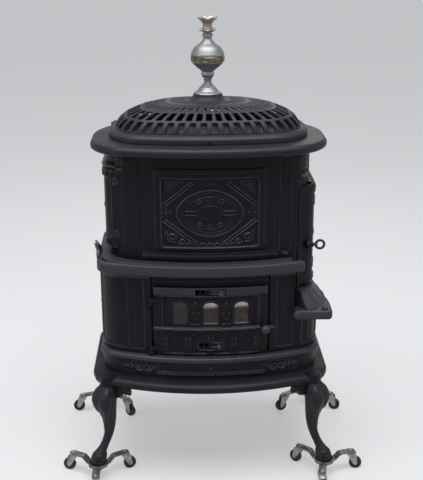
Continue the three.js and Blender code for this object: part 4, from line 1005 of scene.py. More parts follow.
def hinge_lug(shape, x, y, root, level):
    """A round lug joined to the casting by a web, with a pin through the knuckle above it."""
    head = level + LUG
    shape.add(*lathe([(6.8, level), (8, level + 1.2), (8, head - 1.2), (6.8, head)], 28, (x, y)))
    u0, u1 = sorted((x, root[0]))
    v0, v1 = sorted((y, root[1]))
    shape.add(*slab(oblong(u0, v0, u1, v1), level + 0.2, head - 0.2))
    top = head + GAP + 13
    shape.add(*lathe([(3, level), (3, top - 1), (5.2, top + 0.1), (5.2, top + 1.2), (3, top + 3),
                      (0.6, top + 3.6)], 20, (x, y)))


def knuckle(shape, x, y, low):
    """The ring of a door's hinge round its pin, above the lug."""
    shape.add(*lathe([(3.6, low), (7, low), (8, low + 1), (8, low + 12), (7, low + 13),
                      (3.6, low + 13)], 28, (x, y)))


def lower_left_side(size):
    """The left side of the lower body, from the front seam round to the back seam."""
    plan = LOWER_PLAN
    front, back = plan.front(-181.3), plan.back(-205.3) - plan.length
    corner, corner_back = -plan.side(-110), -plan.side(105)
    s = axis_lines((front, corner, 2.3), (corner, corner_back, 3.2), (corner_back, back, 3.2))
    z = axis_lines((FLOOR + GAP, 430, 3), (430, 655, 3.2), (655, BELT - GAP, 3))
    gs, gz = np.meshgrid(s, z)
    h = (column_relief(size, gs, gz, front, corner, 430, 656)
         + side_panel(gs, gz, -plan.side(0), 88, 432, 654) * size.ornament
         + column_relief(size, gs, gz, back, corner_back, 430, 656) + 2.6 * ridge(gz - 664, 4))
    shape = Shape().add(*wall(plan, gs, gz, h))
    y = plan.bowed(DOOR_PIN)
    for level in DOOR_HINGES:
        hinge_lug(shape, -DOOR_PIN, y - 9, (-196, y + 5), level)
    shape.stand("lower_left_cast", "stove", "blacked_iron", "lower_left_side")


def back_relief(x, z, low, high):
    """Plain back with a raised border and two upright stiffening ribs."""
    inside = box_inside(x, z, (0, (low + high) / 2), (188, (high - low) / 2 - 16), 12)
    ribs = np.maximum(ridge(x - 120, 5), ridge(x + 120, 5)) * step(inside - 8, 4)
    return 2.5 * ridge(inside, 6) + 2.5 * ribs


def back_casting():
    """One tall back casting: a lower wall, a shelf at the step and an upper wall with a round
    hole for the flue."""
    shape = Shape()
    for plan, low, high in ((LOWER_PLAN, FLOOR + GAP, 702.2), (UPPER_PLAN, 707.8, RIM - GAP)):
        xs = axis_lines((205, -205, 5))[::-1]
        zs = axis_lines((low, high, 5))
        x, z = np.meshgrid(xs, zs)
        keep = None
        if plan is UPPER_PLAN:
            mx, mz = cell_middles(xs, zs)
            keep = np.hypot(mx, mz - FLUE) > 75
        shape.add(*wall(plan, plan.back(x), z, back_relief(x, z, low, high), keep=keep))
    xs = np.linspace(-205, 205, 60)
    far = LOWER_PLAN.at(LOWER_PLAN.back(xs))[1]
    near = UPPER_PLAN.at(UPPER_PLAN.back(xs))[1] - WALL
    u, v = np.concatenate([xs, xs[::-1]]), np.concatenate([near, far[::-1]])
    shape.add(*slab(np.stack([u, v], axis=1), 702, 708, 1))
    shape.stand("back_cast", "stove", "blacked_iron", "back_casting")


def cheek(shape, x0, x1, x, end, low, high):
    """An upright plate from x0 to x1 across the step between the lower wall and the upper one,
    at the front or the back as end says. Its ends follow the walls at x."""
    y0, y1 = sorted(float(plan.at(end(plan, x))[1]) for plan in (LOWER_PLAN, UPPER_PLAN))
    shape.add(*slab(oblong(x0, y0 - 1, x1, y1 + 1), low, high))


def right_casting(size):
    """The right side: reeded column, seam bead, an upper wall with the feed opening in a proud
    sill, a lower side panel under the hearth, a pilaster at the front corner and two hinge lugs."""
    low, up = LOWER_PLAN, UPPER_PLAN
    shape = Shape()
    gs, gz = np.meshgrid(axis_lines((low.front(181.3), low.front(257), 2.2)),
                         axis_lines((FLOOR + GAP, BELT - GAP, 3.2)))
    h = column_relief(size, gs, gz, low.front(181.3), low.front(252), 430, 656)
    shape.add(*wall(low, gs, gz, h + 2.6 * ridge(gz - 664, 4)))
    s = axis_lines((low.front(257), low.side(-110), 2.5), (low.side(-110), low.side(110), 3.2),
                   (low.side(110), low.back(205.3), 4))
    gs, gz = np.meshgrid(s, axis_lines((FLOOR + GAP, HEARTH - 0.2, 3)))
    centre = (low.side(0), 464)
    ring = box_inside(gs, gz, centre, (86, 36), 10)
    h = plateau(ring, 3.6) - plateau(ring - 12, 3) + 2.4 * rosette(gs, gz, centre, 19, 10)
    h = h + column_relief(size, gs, gz, low.front(262), low.side(-112), 428, 504)
    shape.add(*wall(low, gs, gz, h))
    shape.add(*wall(low, axis_lines((low.back(257), low.back(205.3), 3)),
                    axis_lines((HEARTH - 0.2, 708, 4))))
    # Web under the hearth, from the lower plan in to the upper.
    t = np.linspace(low.front(251), low.back(251), 140)
    outer = np.stack(low.at(t), axis=1)
    t = np.linspace(up.front(251), up.back(251), 140)
    inner = np.stack(up.at(t, -WALL), axis=1)
    shape.add(*slab(np.concatenate([outer, inner[::-1]]), 509, 514.8, 1))
    cheek(shape, 251, 257, 254, Plan.front, HEARTH - 6, BELT - GAP)
    cheek(shape, 251, 257, 254, Plan.back, HEARTH - 6, UPPER)
    # Upper wall beside the hearth and above it, with the feed opening.
    open_low, open_high = up.side(-120), up.side(120)
    s = axis_lines((up.front(251), open_low, 3), (open_low, open_high, 6),
                   (open_high, up.back(251), 3))
    z = axis_lines((HEARTH - 4, 640, 4), (640, 895, 6), (895, RIM - GAP, 4))

    def feed_opening(s, z):
        """True for the cells of a grid that lie in the opening."""
        ms, mz = cell_middles(s, z)
        return (ms > open_low) & (ms < open_high) & (mz > 640) & (mz < 895)

    gs, gz = np.meshgrid(s, z)
    keep = ~feed_opening(s, z)
    shape.add(*wall(up, gs, gz, corner_leaf(up, gs, gz, up.side(-128)), keep=keep))
    z = axis_lines((UPPER + GAP, RIM - GAP, 3))
    gs, gz = np.meshgrid(axis_lines((up.front(205.3), up.front(251), 2.5)), z)
    shape.add(*wall(up, gs, gz, upper_pilaster(gs, gz, up.front(228))))
    shape.add(*wall(up, axis_lines((up.back(251), up.back(205.3), 4)), z))
    # Proud sill round the feed opening, which the door closes on.
    s = axis_lines((up.side(-150), open_low, 4), (open_low, open_high, 6),
                   (open_high, up.side(150), 4))
    z = axis_lines((607, 640, 4), (640, 895, 8), (895, 928, 4))
    shape.add(*wall(up, s, z, 11.3, back=-2, keep=~feed_opening(s, z)))
    for level in FEED_HINGES:
        hinge_lug(shape, *FEED_PIN, (250, 148), level)
    shape.stand("right_side_cast", "stove", "blacked_iron", "right_side_casting")


def corner_leaf(plan, gs, gz, edge):
    """The front corner of the upper body: slim reeds with a leaf over their heads."""
    start = plan.front(252)
    middle = (start + edge) / 2
    h = reeds(gs, gz, np.linspace(start, edge, 4), 716, 950, 1.4)
    return h + 3.6 * acanthus(gs - middle, 1030 - gz, 24, 70)


def upper_pilaster(gs, gz, middle):
    """Slim reeds in a sunk upright beside the front panel, with a small lug at their foot."""
    inside = box_inside(gs, gz, (middle, 876), (17, 146), 4)
    h = -plateau(inside, 2.4, 1.4)
    h = h + reeds(gs, gz, middle + np.array([-15, -5, 5, 15.0]), 734, 1018, 1.4)
    return h + 3 * ridge(np.hypot((gs - middle) / 1.7, gz - 722), 6)


def belt():
    """The belt rail round the front and left, with a rounded nose, and the shelf behind it on the
    lower body. The rail narrows at its right end and has a flared leaf at its left one."""
    nose = np.array([(-9, 673), (-4, 673.4), (-1.4, 675.5), (0, 679), (0, 700), (-1.2, 704.2),
                     (-3.6, 707), (-8, 708)])
    plan, middle, back = BELT_PLAN, 690.5, 14.0
    left_end, right_end = -plan.side(-52), plan.front(287)
    s = np.linspace(left_end, right_end, 420)[:, None]
    left, right = pillow(s - left_end, 26), pillow(right_end - s, 14)
    reach = nose[:, 0] - (1 - np.minimum(left, right)) * 5
    level = middle + (nose[:, 1] - middle) * (0.5 + 0.5 * np.minimum(left, 0.35 + 0.65 * right))
    x, y = plan.at(s + 0 * reach, reach)
    bx, by = plan.at(s + np.zeros((1, 2)), -back)
    bz = np.stack([level[:, -1], level[:, 0]], axis=1)
    ring = np.concatenate([stack(x, y, level), stack(bx, by, bz)], axis=1)
    shape = Shape().add(*skin(ring[:, ::-1]))
    # A lobed leaf that flares outwards over the left end.
    u, v = np.meshgrid(np.linspace(0, 1, 41), np.linspace(0, 1, 19))
    tall = np.sin(math.pi * u) ** 0.45 * (0.87 + 0.13 * np.cos(3 * TAU * u)) * v
    flare = -6 + 13 * tall ** 2 + 1.4 * np.cos(3 * TAU * u) * tall
    half_thick = 5.4 - 3 * tall ** 2
    faces_of = [stack(*plan.at(left_end + 4 + 88 * u, flare + side * half_thick),
                      694 + 56 * tall) for side in (1, -1)]
    points, faces, _ = sheet_skin(*faces_of)
    shape.add(points, faces, np.tile(tall.ravel(), 2))
    # Shelf from the upper wall out to the rail, on the lower wall.
    edge = LOWER_PLAN.grown(4)
    outer = np.linspace(edge.back(-205.3) - edge.length, edge.front(250), 260)
    inner = np.linspace(UPPER_PLAN.back(-205.3) - UPPER_PLAN.length, UPPER_PLAN.front(250), 260)
    outline = np.concatenate([np.stack(edge.at(outer), axis=1),
                              np.stack(UPPER_PLAN.at(inner, -WALL), axis=1)[::-1]])
    shape.add(*slab(outline, 702, 707.8, 0.8))
    # The step's right end.
    cheek(shape, 244, 250, 250, Plan.front, BELT, 704)
    plan = LOWER_PLAN
    s = axis_lines((plan.back(-205.3) - plan.length, plan.front(250), 5))
    shape.add(*wall(plan, *np.meshgrid(s, axis_lines((BELT, 704, 5)))))
    shape.stand("belt_cast", "stove", "rail_iron", "belt")


# ---- upper body
def double_line(x, z, a, b, gap=4.6, half=2.1):
    """Two ridges side by side along the straight line from a to b."""
    a, b = np.array(a, dtype=float), np.array(b, dtype=float)
    along = (b - a) / np.hypot(*(b - a))
    across = np.array([-along[1], along[0]]) * gap
    return np.maximum(stroke(x, z, line_path(a + across, b + across, count=110), half),
                      stroke(x, z, line_path(a - across, b - across, count=110), half))


def panel_relief(x, z):
    """Front panel: a raised round-cornered frame with a sunk field. In the field, a lozenge of
    double lines, a stepped oval with a bare shield between two bars, a rosette at each side, a
    fan on top, fine upright lines in the upper corners, leafy scrolls in the lower ones and a
    row of scallops along the foot."""
    centre = (0, 870)
    frame_in = box_inside(x, z, centre, (167, 125), 15)
    field_in = box_inside(x, z, (0, 862), (141, 103), 7)
    h = plateau(frame_in, 5, 3) - plateau(field_in, 4.2, 2)
    h = h + 1.2 * ridge(frame_in - 9, 3) + 1.5 * ridge(field_in + 4, 2.6)
    art = np.zeros(x.shape)
    for side in (-1, 1):
        sx = side * x
        lines = 1.6 * ridge(np.mod(sx + 3, 6) - 3, 1.9)
        corner = step(sx * 0.72 + z - 1016, 3) * step(137 - sx, 2) * step(962 - z, 2)
        art = highest(
            art, 2.3 * double_line(sx, z, (42, 768), (136, 838)),
            2.3 * double_line(sx, z, (52, 955), (136, 886)),
            3.4 * rosette(sx, z, (139, 863), 20, 8), 3 * leaf((z - 863) / 9, (sx - 112) / 22, 2),
            lines * corner * (sx > 0), 3.2 * curl(sx, z, (113, 786), 15, 2.5, 250, 1.5, 3.6, 1.8),
            3 * curl(sx, z, (84, 775), 10, 2, 200, 1.4, 3, 1.6, -1))
        for tip, turn, long in (((133, 806), 62, 24), ((128, 776), 8, 20), ((100, 800), 105, 18)):
            c, s = math.cos(math.radians(turn)), math.sin(math.radians(turn))
            du, dv = sx - tip[0] + c * long, z - tip[1] + s * long
            art = highest(art, 2.8 * leaf((-du * s + dv * c) / (long * 0.42),
                                          (du * c + dv * s) / long, 3))
    oval = oval_inside(x, z, (0, 862), (102, 74), 1.75)
    inner = oval_inside(x, z, (0, 862), (80, 50), 1.75)
    shield = oval_inside(x, z, (0, 862), (38, 24), 2.2)
    bars = (np.abs(x) > 40) & (np.abs(x) < 74)
    art = (np.where(oval > -7, 0, art) + 2.2 * plateau(oval, 1, 1.4) + 1.8 * ridge(oval - 2.5, 3)
           - 1.8 * plateau(oval - 9, 1, 1.6) + 1.4 * ridge(oval - 13, 2.4)
           + 1.3 * ridge(inner, 2.2) + 2.6 * step(shield, 3) - 0.9 * step(shield - 7, 2)
           + bars * (1.8 * ridge(z - 868, 2) + 1.8 * ridge(z - 856, 2))
           + 2.4 * rosette(x, z, (0, 904), 13, 6) + 2.4 * rosette(x, z, (0, 820), 11, 6))
    for side in (-1, 1):
        art = art + 2.2 * curl(side * x, z, (34, 900), 10, 2.5, 170, 1.2, 2.4, 2.4)
        art = art + 2 * curl(side * x, z, (31, 825), 8, 2.5, 190, -1.2, 2.2, 2.2)
    fan_angle = np.arctan2(x, z - 944)
    fan = (np.abs(fan_angle) < 1.45) * ridge(np.hypot(x, z - 944) - 9, 9.5)
    art = art + 2.6 * fan * (0.45 + 0.55 * np.abs(np.cos(fan_angle * 6)))
    scallop = np.abs(np.mod(x + 11, 22) - 11)
    foot = (z > 761) & (np.abs(x) < 77)
    art = art + 2.4 * ridge(np.hypot(scallop, (z - 762) * 1.1) - 8, 2.2) * foot
    return h + 1.3 * art * step(field_in + 2, 2)


def upper_front_panel(size):
    """The front panel of the upper body, with a small moulding along its foot."""
    plan = UPPER_PLAN
    xs = axis_lines((-205, -170, 3), (-170, 170, 1.58), (170, 205, 3))
    zs = axis_lines((UPPER + GAP, 743, 2.5), (743, 997, 1.58), (997, RIM - GAP, 4))
    x, z = np.meshgrid(xs, zs)
    h = panel_relief(x, z) * size.ornament
    h = h + 3.6 * ridge(z - 721, 9) + 1.5 * ridge(z - 734, 2.5)
    h = h - 1.2 * ridge(np.abs(x) - 196, 1.8)
    shape = Shape().add(*wall(plan, plan.front(x), z, h))
    shape.stand("upper_front_cast", "stove", "blacked_iron", "upper_front_panel")


def upper_left_side(size):
    """The upper left side. A false door with rounded edges and a curled head stands out of it;
    slim reeds with a leaf over them fill the corner in front of it."""
    plan = UPPER_PLAN
    front, back = plan.front(-205.3), plan.back(-205.3) - plan.length
    a, b = -plan.side(-150), -plan.side(150)
    s = axis_lines((back, b, 4), (b, a, 2.3), (a, front, 2.3))
    z = axis_lines((UPPER + GAP, RIM - GAP, 2.4))
    gs, gz = np.meshgrid(s, z)
    edge, far = plan.front(-264), -plan.side(158)
    middle, half = (edge + far) / 2, (edge - far) / 2
    ds = gs - middle
    door = box_inside(gs, gz, (middle, 868), (half, 132), 34)
    h = 17 * np.minimum(pillow(door, 15), step(edge - 30 - gs, 32))
    inside = box_inside(gs, gz, (middle, 862), (half - 34, 96), 18)
    art = 1.6 * ridge(inside, 3) - plateau(inside, 3.4, 2.5)
    art = art + 3.4 * rosette(gs, gz, (middle, 862), 30, 12)
    art = art + leaf_cross(ds, gz - 862, (2.8, 26, 34, 58, 5), (2.6, 22, 36, 62, 5))
    for side, end in QUARTERS:
        art = art + 2.2 * curl(side * ds, end * (gz - 866), (half - 19, 84), 11, 2, 240, 1.4,
                               2.8, 2.8)
    # Rolled leaf over the door's head, with ribs under the roll.
    roll = step(half - 12 - np.abs(ds), 8)
    art = art + roll * (5 * ridge(gz - 996, 7) - 4 * ridge(gz - 984, 4.5))
    art = art + 2.6 * np.abs(np.sin(ds / 6)) * roll * ridge(gz - 968, 12)
    corner = reeds(gs, gz, np.linspace(edge + 3, front - 8, 6), 716, 1020, 1.3)
    h = h + (art + corner) * size.ornament
    h = h + 4 * acanthus(gs - edge + 3, 1032 - gz, 20, 44, 4)
    shape = Shape().add(*wall(plan, gs, gz, h, back=np.where(h > 8, h - 7, -WALL)))
    shape.stand("upper_left_cast", "stove", "blacked_iron", "upper_left_side")


def top_plate():
    """The top plate: a broad round-nosed rim over a hollow underside, with the cook hole's
    stepped ring. One skin runs over the rim, down the hole and back under the plate."""
    rings = nosed(RIM_PLAN, (-20, -14, 1037.4), (-11, -7, 1037.2), (-5.2, -3.4, 1038.2),
                  (-1.6, -1, 1041), (0, 0, 1045.5), (0, -0.6, 1051), (-0.8, -2, 1056),
                  (-3, -5, 1060), (-6.4, -9.4, 1062.8), (-11, -15, 1063.9))
    count = 560
    loops = [stack(*plan.loop(count), z) for plan, z in rings]
    angle = np.arctan2(loops[0][:, 1], loops[0][:, 0])

    def circle(radius, z):
        """A ring about the cook hole, in step with the rim's points."""
        return stack(radius * np.cos(angle), radius * np.sin(angle), z)

    loops += [circle(*ring) for ring in ((115.4, 1063.9), (114.9, 1063.2), (115, 1056.4),
                                         (108, 1056.4), (108, 1052.1))]
    inner, outer = UPPER_PLAN.grown(-11), UPPER_PLAN.grown(5)
    loops += [stack(*plan.loop(count), z) for plan, z in (
        (inner, 1052.1), (inner, 1037.3), (outer, 1037.3), (outer, 1052.1),
        (RIM_PLAN.grown(-17, -14), 1052.1))]
    shape = Shape().add(*skin(np.array(loops), round_rows=True, caps=False))
    shape.stand("top_plate_cast", "stove", "rim_iron", "top_plate", 50)


def cook_lid():
    """Round lid with two turned grooves and a low oblong boss for the lifter."""
    profile = [(0.5, 1051.8), (104, 1051.8), (105, 1052.6), (105, 1056.8), (113.6, 1056.8),
               (114.4, 1057.6), (114.4, 1062.9), (113.6, 1063.7), (100, 1063.7), (98.8, 1062.3),
               (96, 1062.3), (94.8, 1063.7), (52, 1063.7), (50.8, 1062.5), (48, 1062.5),
               (46.8, 1063.7), (0.5, 1063.7)]
    shape = Shape().add(*lathe(profile, 96))
    shape.add(*slab(oblong(62, -5, 88, 5), 1063.2, 1063.75, 0.2))
    shape.stand("cook_lid_cast", "cook_lid", "blacked_iron", "cook_lid")


# ---- swing dome and finial
DOME_LOW = TOP + GAP
DOME_SHOULDER, DOME_RISE = 24, 77
DOME_ROUND = 1.9
DOME_CROWN = 0.22  # the crown's plan against the shoulder's
DOME_INNER = Plan(280, 165, 50, 78)
DOME_PIVOT = (-288.563, 109.635)


def dome_point(turn, up, inset=0.0):
    """A point of the dome's shell: turn goes round from 0 to 1, and up from 0 at the shoulder to
    1 at the crown along a superellipse |across|^1.9 + |up|^1.9 = 1, on plans that shrink."""
    angle = up * TAU / 4
    across = np.clip(np.cos(angle), 0, 1) ** (2 / DOME_ROUND)
    rise = np.sin(angle) ** (2 / DOME_ROUND)
    factor = DOME_CROWN + (1 - DOME_CROWN) * across
    x, y = DOME_INNER.by_row(turn * len(DOME_INNER.x) % len(DOME_INNER.x))
    size = np.hypot(x, y)
    shrink = (size * factor - inset * (0.35 + 0.65 * across)) / size
    z = DOME_LOW + DOME_SHOULDER + DOME_RISE * rise - inset * (0.25 + 0.75 * rise)
    return stack(x * shrink, y * shrink, z)


def dome_turns(count):
    """Turn values that are evenly spaced by distance along the dome's plan."""
    s = np.arange(count) * DOME_INNER.length / count
    i = np.interp(s, DOME_INNER.s, np.arange(len(DOME_INNER.s)))
    return i / len(DOME_INNER.x)


def swing_dome(size):
    """The dome: a smooth flange with a step, then a domed grille of two rows of upright windows,
    staggered by half a pitch, and a lace of small holes and crossing bars up to the crown's
    moulding. Where a window is, the cells of the grid are left out."""
    per = 15  # columns of cells to one window and one bar
    columns, rows = size.dome_windows * per, 82
    up = np.linspace(0, 1, rows) ** 0.9
    gt, gu = np.meshgrid(dome_turns(columns), up)
    phase = (np.arange(columns) % per) / per
    bar = lambda p: np.abs(np.cos(math.pi * p)) ** 4

    def between(value, low, high, soft=0.02):
        """1 from low to high and 0 outside, with soft ends."""
        return step(value - low, soft) * step(high - value, soft)

    lace = highest(*(ridge(np.mod(phase + lean * gu, 1) - 0.5, 0.17) for lean in (3.6, -3.6)))
    relief = (1.8 * ridge(gu - 0.036, 0.022) + 1.5 * ridge(gu - 0.322, 0.028)
              + 1.5 * ridge(gu - 0.545, 0.022) + 1.6 * ridge(gu - 0.8, 0.03)
              + 1.5 * bar(phase) * between(gu, 0.05, 0.3)
              + 1.4 * bar(phase + 0.5) * between(gu, 0.34, 0.53)
              + 1.7 * lace * between(gu, 0.55, 0.79)
              + 1.7 * np.abs(np.sin(math.pi * phase)) * between(gu, 0.83, 0.975, 0.03))
    relief = relief * size.ornament
    middle_up = (up[1:] + up[:-1])[:, None] / 2
    middle = (np.arange(columns) + 0.5) % per / per
    low = np.abs(middle - 0.5)[None, :]
    high = np.abs((middle + 0.5) % 1 - 0.5)[None, :]

    def window(across, foot, head, half, round_by=0.02):
        """True inside an upright window with rounded corners."""
        tall = np.clip(np.maximum(foot + round_by - middle_up, middle_up - head + round_by)
                       / round_by, 0, 1)
        return (middle_up > foot) & (middle_up < head) & (
            across < half - 0.1 * (1 - np.sqrt(1 - tall ** 2)))

    holes = (window(low, 0.05, 0.3, 0.3) | window(high, 0.35, 0.53, 0.34)
             | window(low, 0.605, 0.7, 0.17))
    shape = Shape()
    points, faces, used = sheet_skin(dome_point(gt, gu, -relief), dome_point(gt, gu, 5.0),
                                     ~holes, closed=True)
    shape.add(points, faces, np.concatenate([rubbed(relief).ravel(), np.zeros(gt.size)])[used])
    # Flange: a smooth upright wall, a bead and a sloped step up to the grille, then its inside.
    flange = [(-1.2, 1064.4), (0, 1065.6), (0, 1078), (-0.8, 1080.2), (-2.8, 1081.4),
              (-4.6, 1082.6), (-6, 1085), (-13, 1087), (-20, 1088.8), (-22, 1090.5),
              (-27, 1090), (-27, 1083), (-6, 1080), (-5, 1076), (-5, 1064.4)]
    shape.add(*sweep([(DOME_PLAN.grown(out), z) for out, z in flange], 440))
    # Crown moulding and the concave boss under the finial.
    foot = DOME_LOW + DOME_SHOULDER + DOME_RISE
    boss = np.array([(70, -7), (72, -4.5), (71, -1.8), (66, -0.6), (62, 0.6), (57, 3), (51, 6.5),
                     (46.6, 11), (44.6, 15), (44.6, 16.6), (43.6, 17.8)])
    shape.add(*lathe(closed_profile(boss + (0, foot)), 96))
    # Pivot ear at the left rear.
    shape.add(*lathe([(16, 1064.5), (17, 1065.5), (17, 1075), (15.5, 1076.4), (9, 1076.6),
                      (8.4, 1080), (6.8, 1081.3), (0.5, 1081.4)], 48, DOME_PIVOT))
    shape.add(*lathe([(0.5, 1042), (6.3, 1042), (7, 1043), (7, 1066), (0.5, 1066)], 32,
                     DOME_PIVOT))
    shape.stand("swing_dome_cast", "dome", "dome_iron", "swing_dome", 45)


def flutes(count, depth, low, high, sharp=0.7):
    """Multiplies a radius by 1 - depth * |sin|^sharp between two levels."""
    def swell(angle, z):
        """The factor at an angle and a level."""
        here = step(z - low, 2.5) * step(high - z, 2.5)
        return 1 - depth * here * np.abs(np.sin(count * angle / 2)) ** sharp
    return swell


def finial(size):
    """The finial: a bell foot, a waist with a knop and a fluted cup, a gilt band between two
    beads, an urn, and a collar with an open cup of petals about a ball."""
    foot, seam = 1183.6, 50
    bell = np.array([
        (30, 0), (40.4, 0), (41.4, 3), (38.5, 6), (33.2, 8.6), (31.6, 10.6), (28.6, 13.6),
        (25.4, 19), (20.5, 23), (16, 27), (12.8, 31.5), (11.3, 36), (11.4, 41), (13.5, 46),
        (13.3, 48.5), (17, 52), (19.6, 57), (20, 62), (18.2, 66.4), (19.4, 68.6), (24.4, 73.6),
        (33, 80.6), (41, 87.4), (47, 93.4), (49.6, 97.4), (49.6, 99)])
    profile = closed_profile(smooth_profile(bell + (0, foot), 4))
    cup = flutes(size.flutes, 0.05, foot + 72, foot + 94)
    Shape().add(*lathe(profile, 168, swell=cup)).stand(
        "finial_base_plated", "dome", "dark_nickel", "finial_base", seam)
    low = foot + 99.3
    band = np.array([(48.8, 0), (50.4, 0.8), (51.6, 2.2), (50.9, 3.4), (51.3, 4.4), (51.3, 11.6),
                     (50.9, 12.6), (51.6, 13.8), (50.8, 15.4), (49.4, 16)])
    Shape().add(*lathe(closed_profile(band + (0, low)), 144)).stand(
        "finial_band_gilt", "dome", "rubbed_gilt", "finial_band", seam)
    low = low + 16.3
    urn = np.array([
        (49.4, 0), (50.2, 2.5), (49.6, 6), (47.6, 10.4), (45.2, 15.6), (41.4, 21.6), (36, 27),
        (29.4, 31.6), (23.2, 36), (18, 41), (14.2, 45.6), (12.7, 49.4), (12.9, 53), (15.2, 55.6),
        (16, 59), (15.4, 62.4), (13.2, 64.8), (12.6, 68)])
    Shape().add(*lathe(closed_profile(smooth_profile(urn + (0, low), 5)), 144)).stand(
        "finial_urn_plated", "dome", "brushed_nickel", "finial_urn", seam)
    low = low + 68.3
    # Radius, height and how deep the petals are cut there.
    flower = np.array([
        (12.2, 0, 0), (14, 1, 0), (22, 3.4, 0.12), (27.4, 6.4, 0.2), (27.8, 8.8, 0.22),
        (22.5, 10.6, 0.14), (17.4, 12.4, 0.06), (14.2, 15.4, 0.02), (13.6, 19, 0), (14, 23, 0.03),
        (16.4, 28, 0.08), (21, 33, 0.14), (26.4, 37.6, 0.2), (30, 41.4, 0.25), (31.8, 44.6, 0.29),
        (30.4, 44.8, 0.29), (25, 40, 0.22), (17, 33, 0.1), (8, 29.5, 0), (0.6, 29, 0)])
    sections = smooth_profile(flower + (0, low, 0), 4)
    angle = np.arange(144) * TAU / 144
    radius, height, wave = sections.T
    petals = 0.5 * (np.cos(size.petals * angle) - 1)
    crease = 0.06 * np.exp(-((np.mod(angle * size.petals / TAU + 0.5, 1) - 0.5) / 0.07) ** 2)
    reach = radius[:, None] * (1 + wave[:, None] * petals - (wave[:, None] > 0.05) * crease)
    droop = wave[:, None] * petals * 14
    grid = stack(reach * np.cos(angle), reach * np.sin(angle), height[:, None] + droop)
    Shape().add(*skin(grid)).add(*ball((0, 0, low + 31), 5.2)).stand(
        "finial_flower_plated", "dome", "aged_nickel", "finial_flower", seam)


# ---- front door
def arch_inside(x, z, centre, bottom, half, spring, rise):
    """How far a point is inside an opening with upright sides and a half-oval head."""
    body = np.minimum(half - np.abs(x - centre), z - bottom)
    head = (1 - np.hypot((x - centre) / half, np.maximum(z - spring, 0) / rise)) * half
    return np.where(z > spring, head, body)


def windows_inside(x, z):
    """How far a point is inside the nearest of the three arched windows."""
    return np.maximum.reduce([arch_inside(x, z, centre, 515, 23, 571.7, 15.3)
                              for centre in (-94, 0, 94)])


def turning(dx, z, *outline):
    """The face of a turned upright, from pairs of a level and the half width there: its height
    is sqrt(1 - (dx / half width)^2) between the first level and the last."""
    level, width = np.array(outline, dtype=float).T
    half = np.maximum(np.interp(z, level, width), 0.1)
    return np.sqrt(np.clip(1 - (dx / half) ** 2, 0, 1)) * (z > level[0]) * (z < level[-1])


def door_relief(x, z):
    """Front door: a plain top band over a fine moulding, a sunk window panel with urns between
    the arched windows, and below the ledge four blind arches with leafed heads on ringed
    columns."""
    h = np.zeros(x.shape)
    panel_in = box_inside(x, z, (0, 552), (143, 52), 3)
    h = h - plateau(panel_in, 3.2, 1.6) + 1.3 * ridge(panel_in + 3.5, 2.2)
    h = h + 1.2 * ridge(z - 609.5, 1.8) * (np.abs(x) < 150)
    h = h + 2.2 * ridge(windows_inside(x, z) + 4.4, 4.2)
    for centre in (-47, 47):
        dx = np.abs(x - centre)
        h = h + 5 * turning(dx, z, (514, 15), (518, 13), (522, 6), (527, 5), (534, 13), (543, 16),
                            (552, 14), (558, 6), (562, 5), (568, 12), (574, 15), (580, 9), (586, 4),
                            (592, 2), (596, 0.1))
        h = h - 2.6 * ridge(np.hypot(dx / 1.35, z - 543), 7)
        h = h + 1.6 * ridge(z - 516.5, 2.4) * (dx < 17)
    below = z < 497
    for centre in (-105, -35, 35, 105):
        arch = arch_inside(x, z, centre, 421, 24, 466, 22)
        h = h + below * (-2.2 * plateau(arch, 1, 2.4) + 1.8 * ridge(arch + 3.4, 4.6))
        dx, dz = x - centre, z - 466
        ang = np.arctan2(dx, np.maximum(dz, 0.01))
        lobes = 0.5 + 0.5 * np.cos(ang * 9)
        h = h + below * (dz > 0) * 2.2 * lobes * ridge(np.hypot(dx / 1.05, dz) - 27.5, 4.5)
    for centre in (-140, -70, 70, 140):
        h = h + 3.6 * turning(x - centre, z, (418, 8), (421, 8), (423, 5), (440, 4.4), (446, 6),
                              (448, 9.5), (452, 9.5), (454, 6), (458, 5), (466, 9), (472, 7),
                              (478, 4), (484, 9), (491, 11), (494, 6))
    h = h + 3.2 * rosette(x, z, (0, 481), 12, 8) * below
    rim_in = box_inside(x, z, (0, 525), (171.5, 110), 2)
    return h - 1.6 * (1 - step(rim_in - 1.5, 1.5))


LATCH = (166, 501)  # x and level of the ball latch
DOOR_OUT = 4  # how far the door's face stands out of the lower plan
DOOR_PIN = 182  # x of the hinge pins, to the left


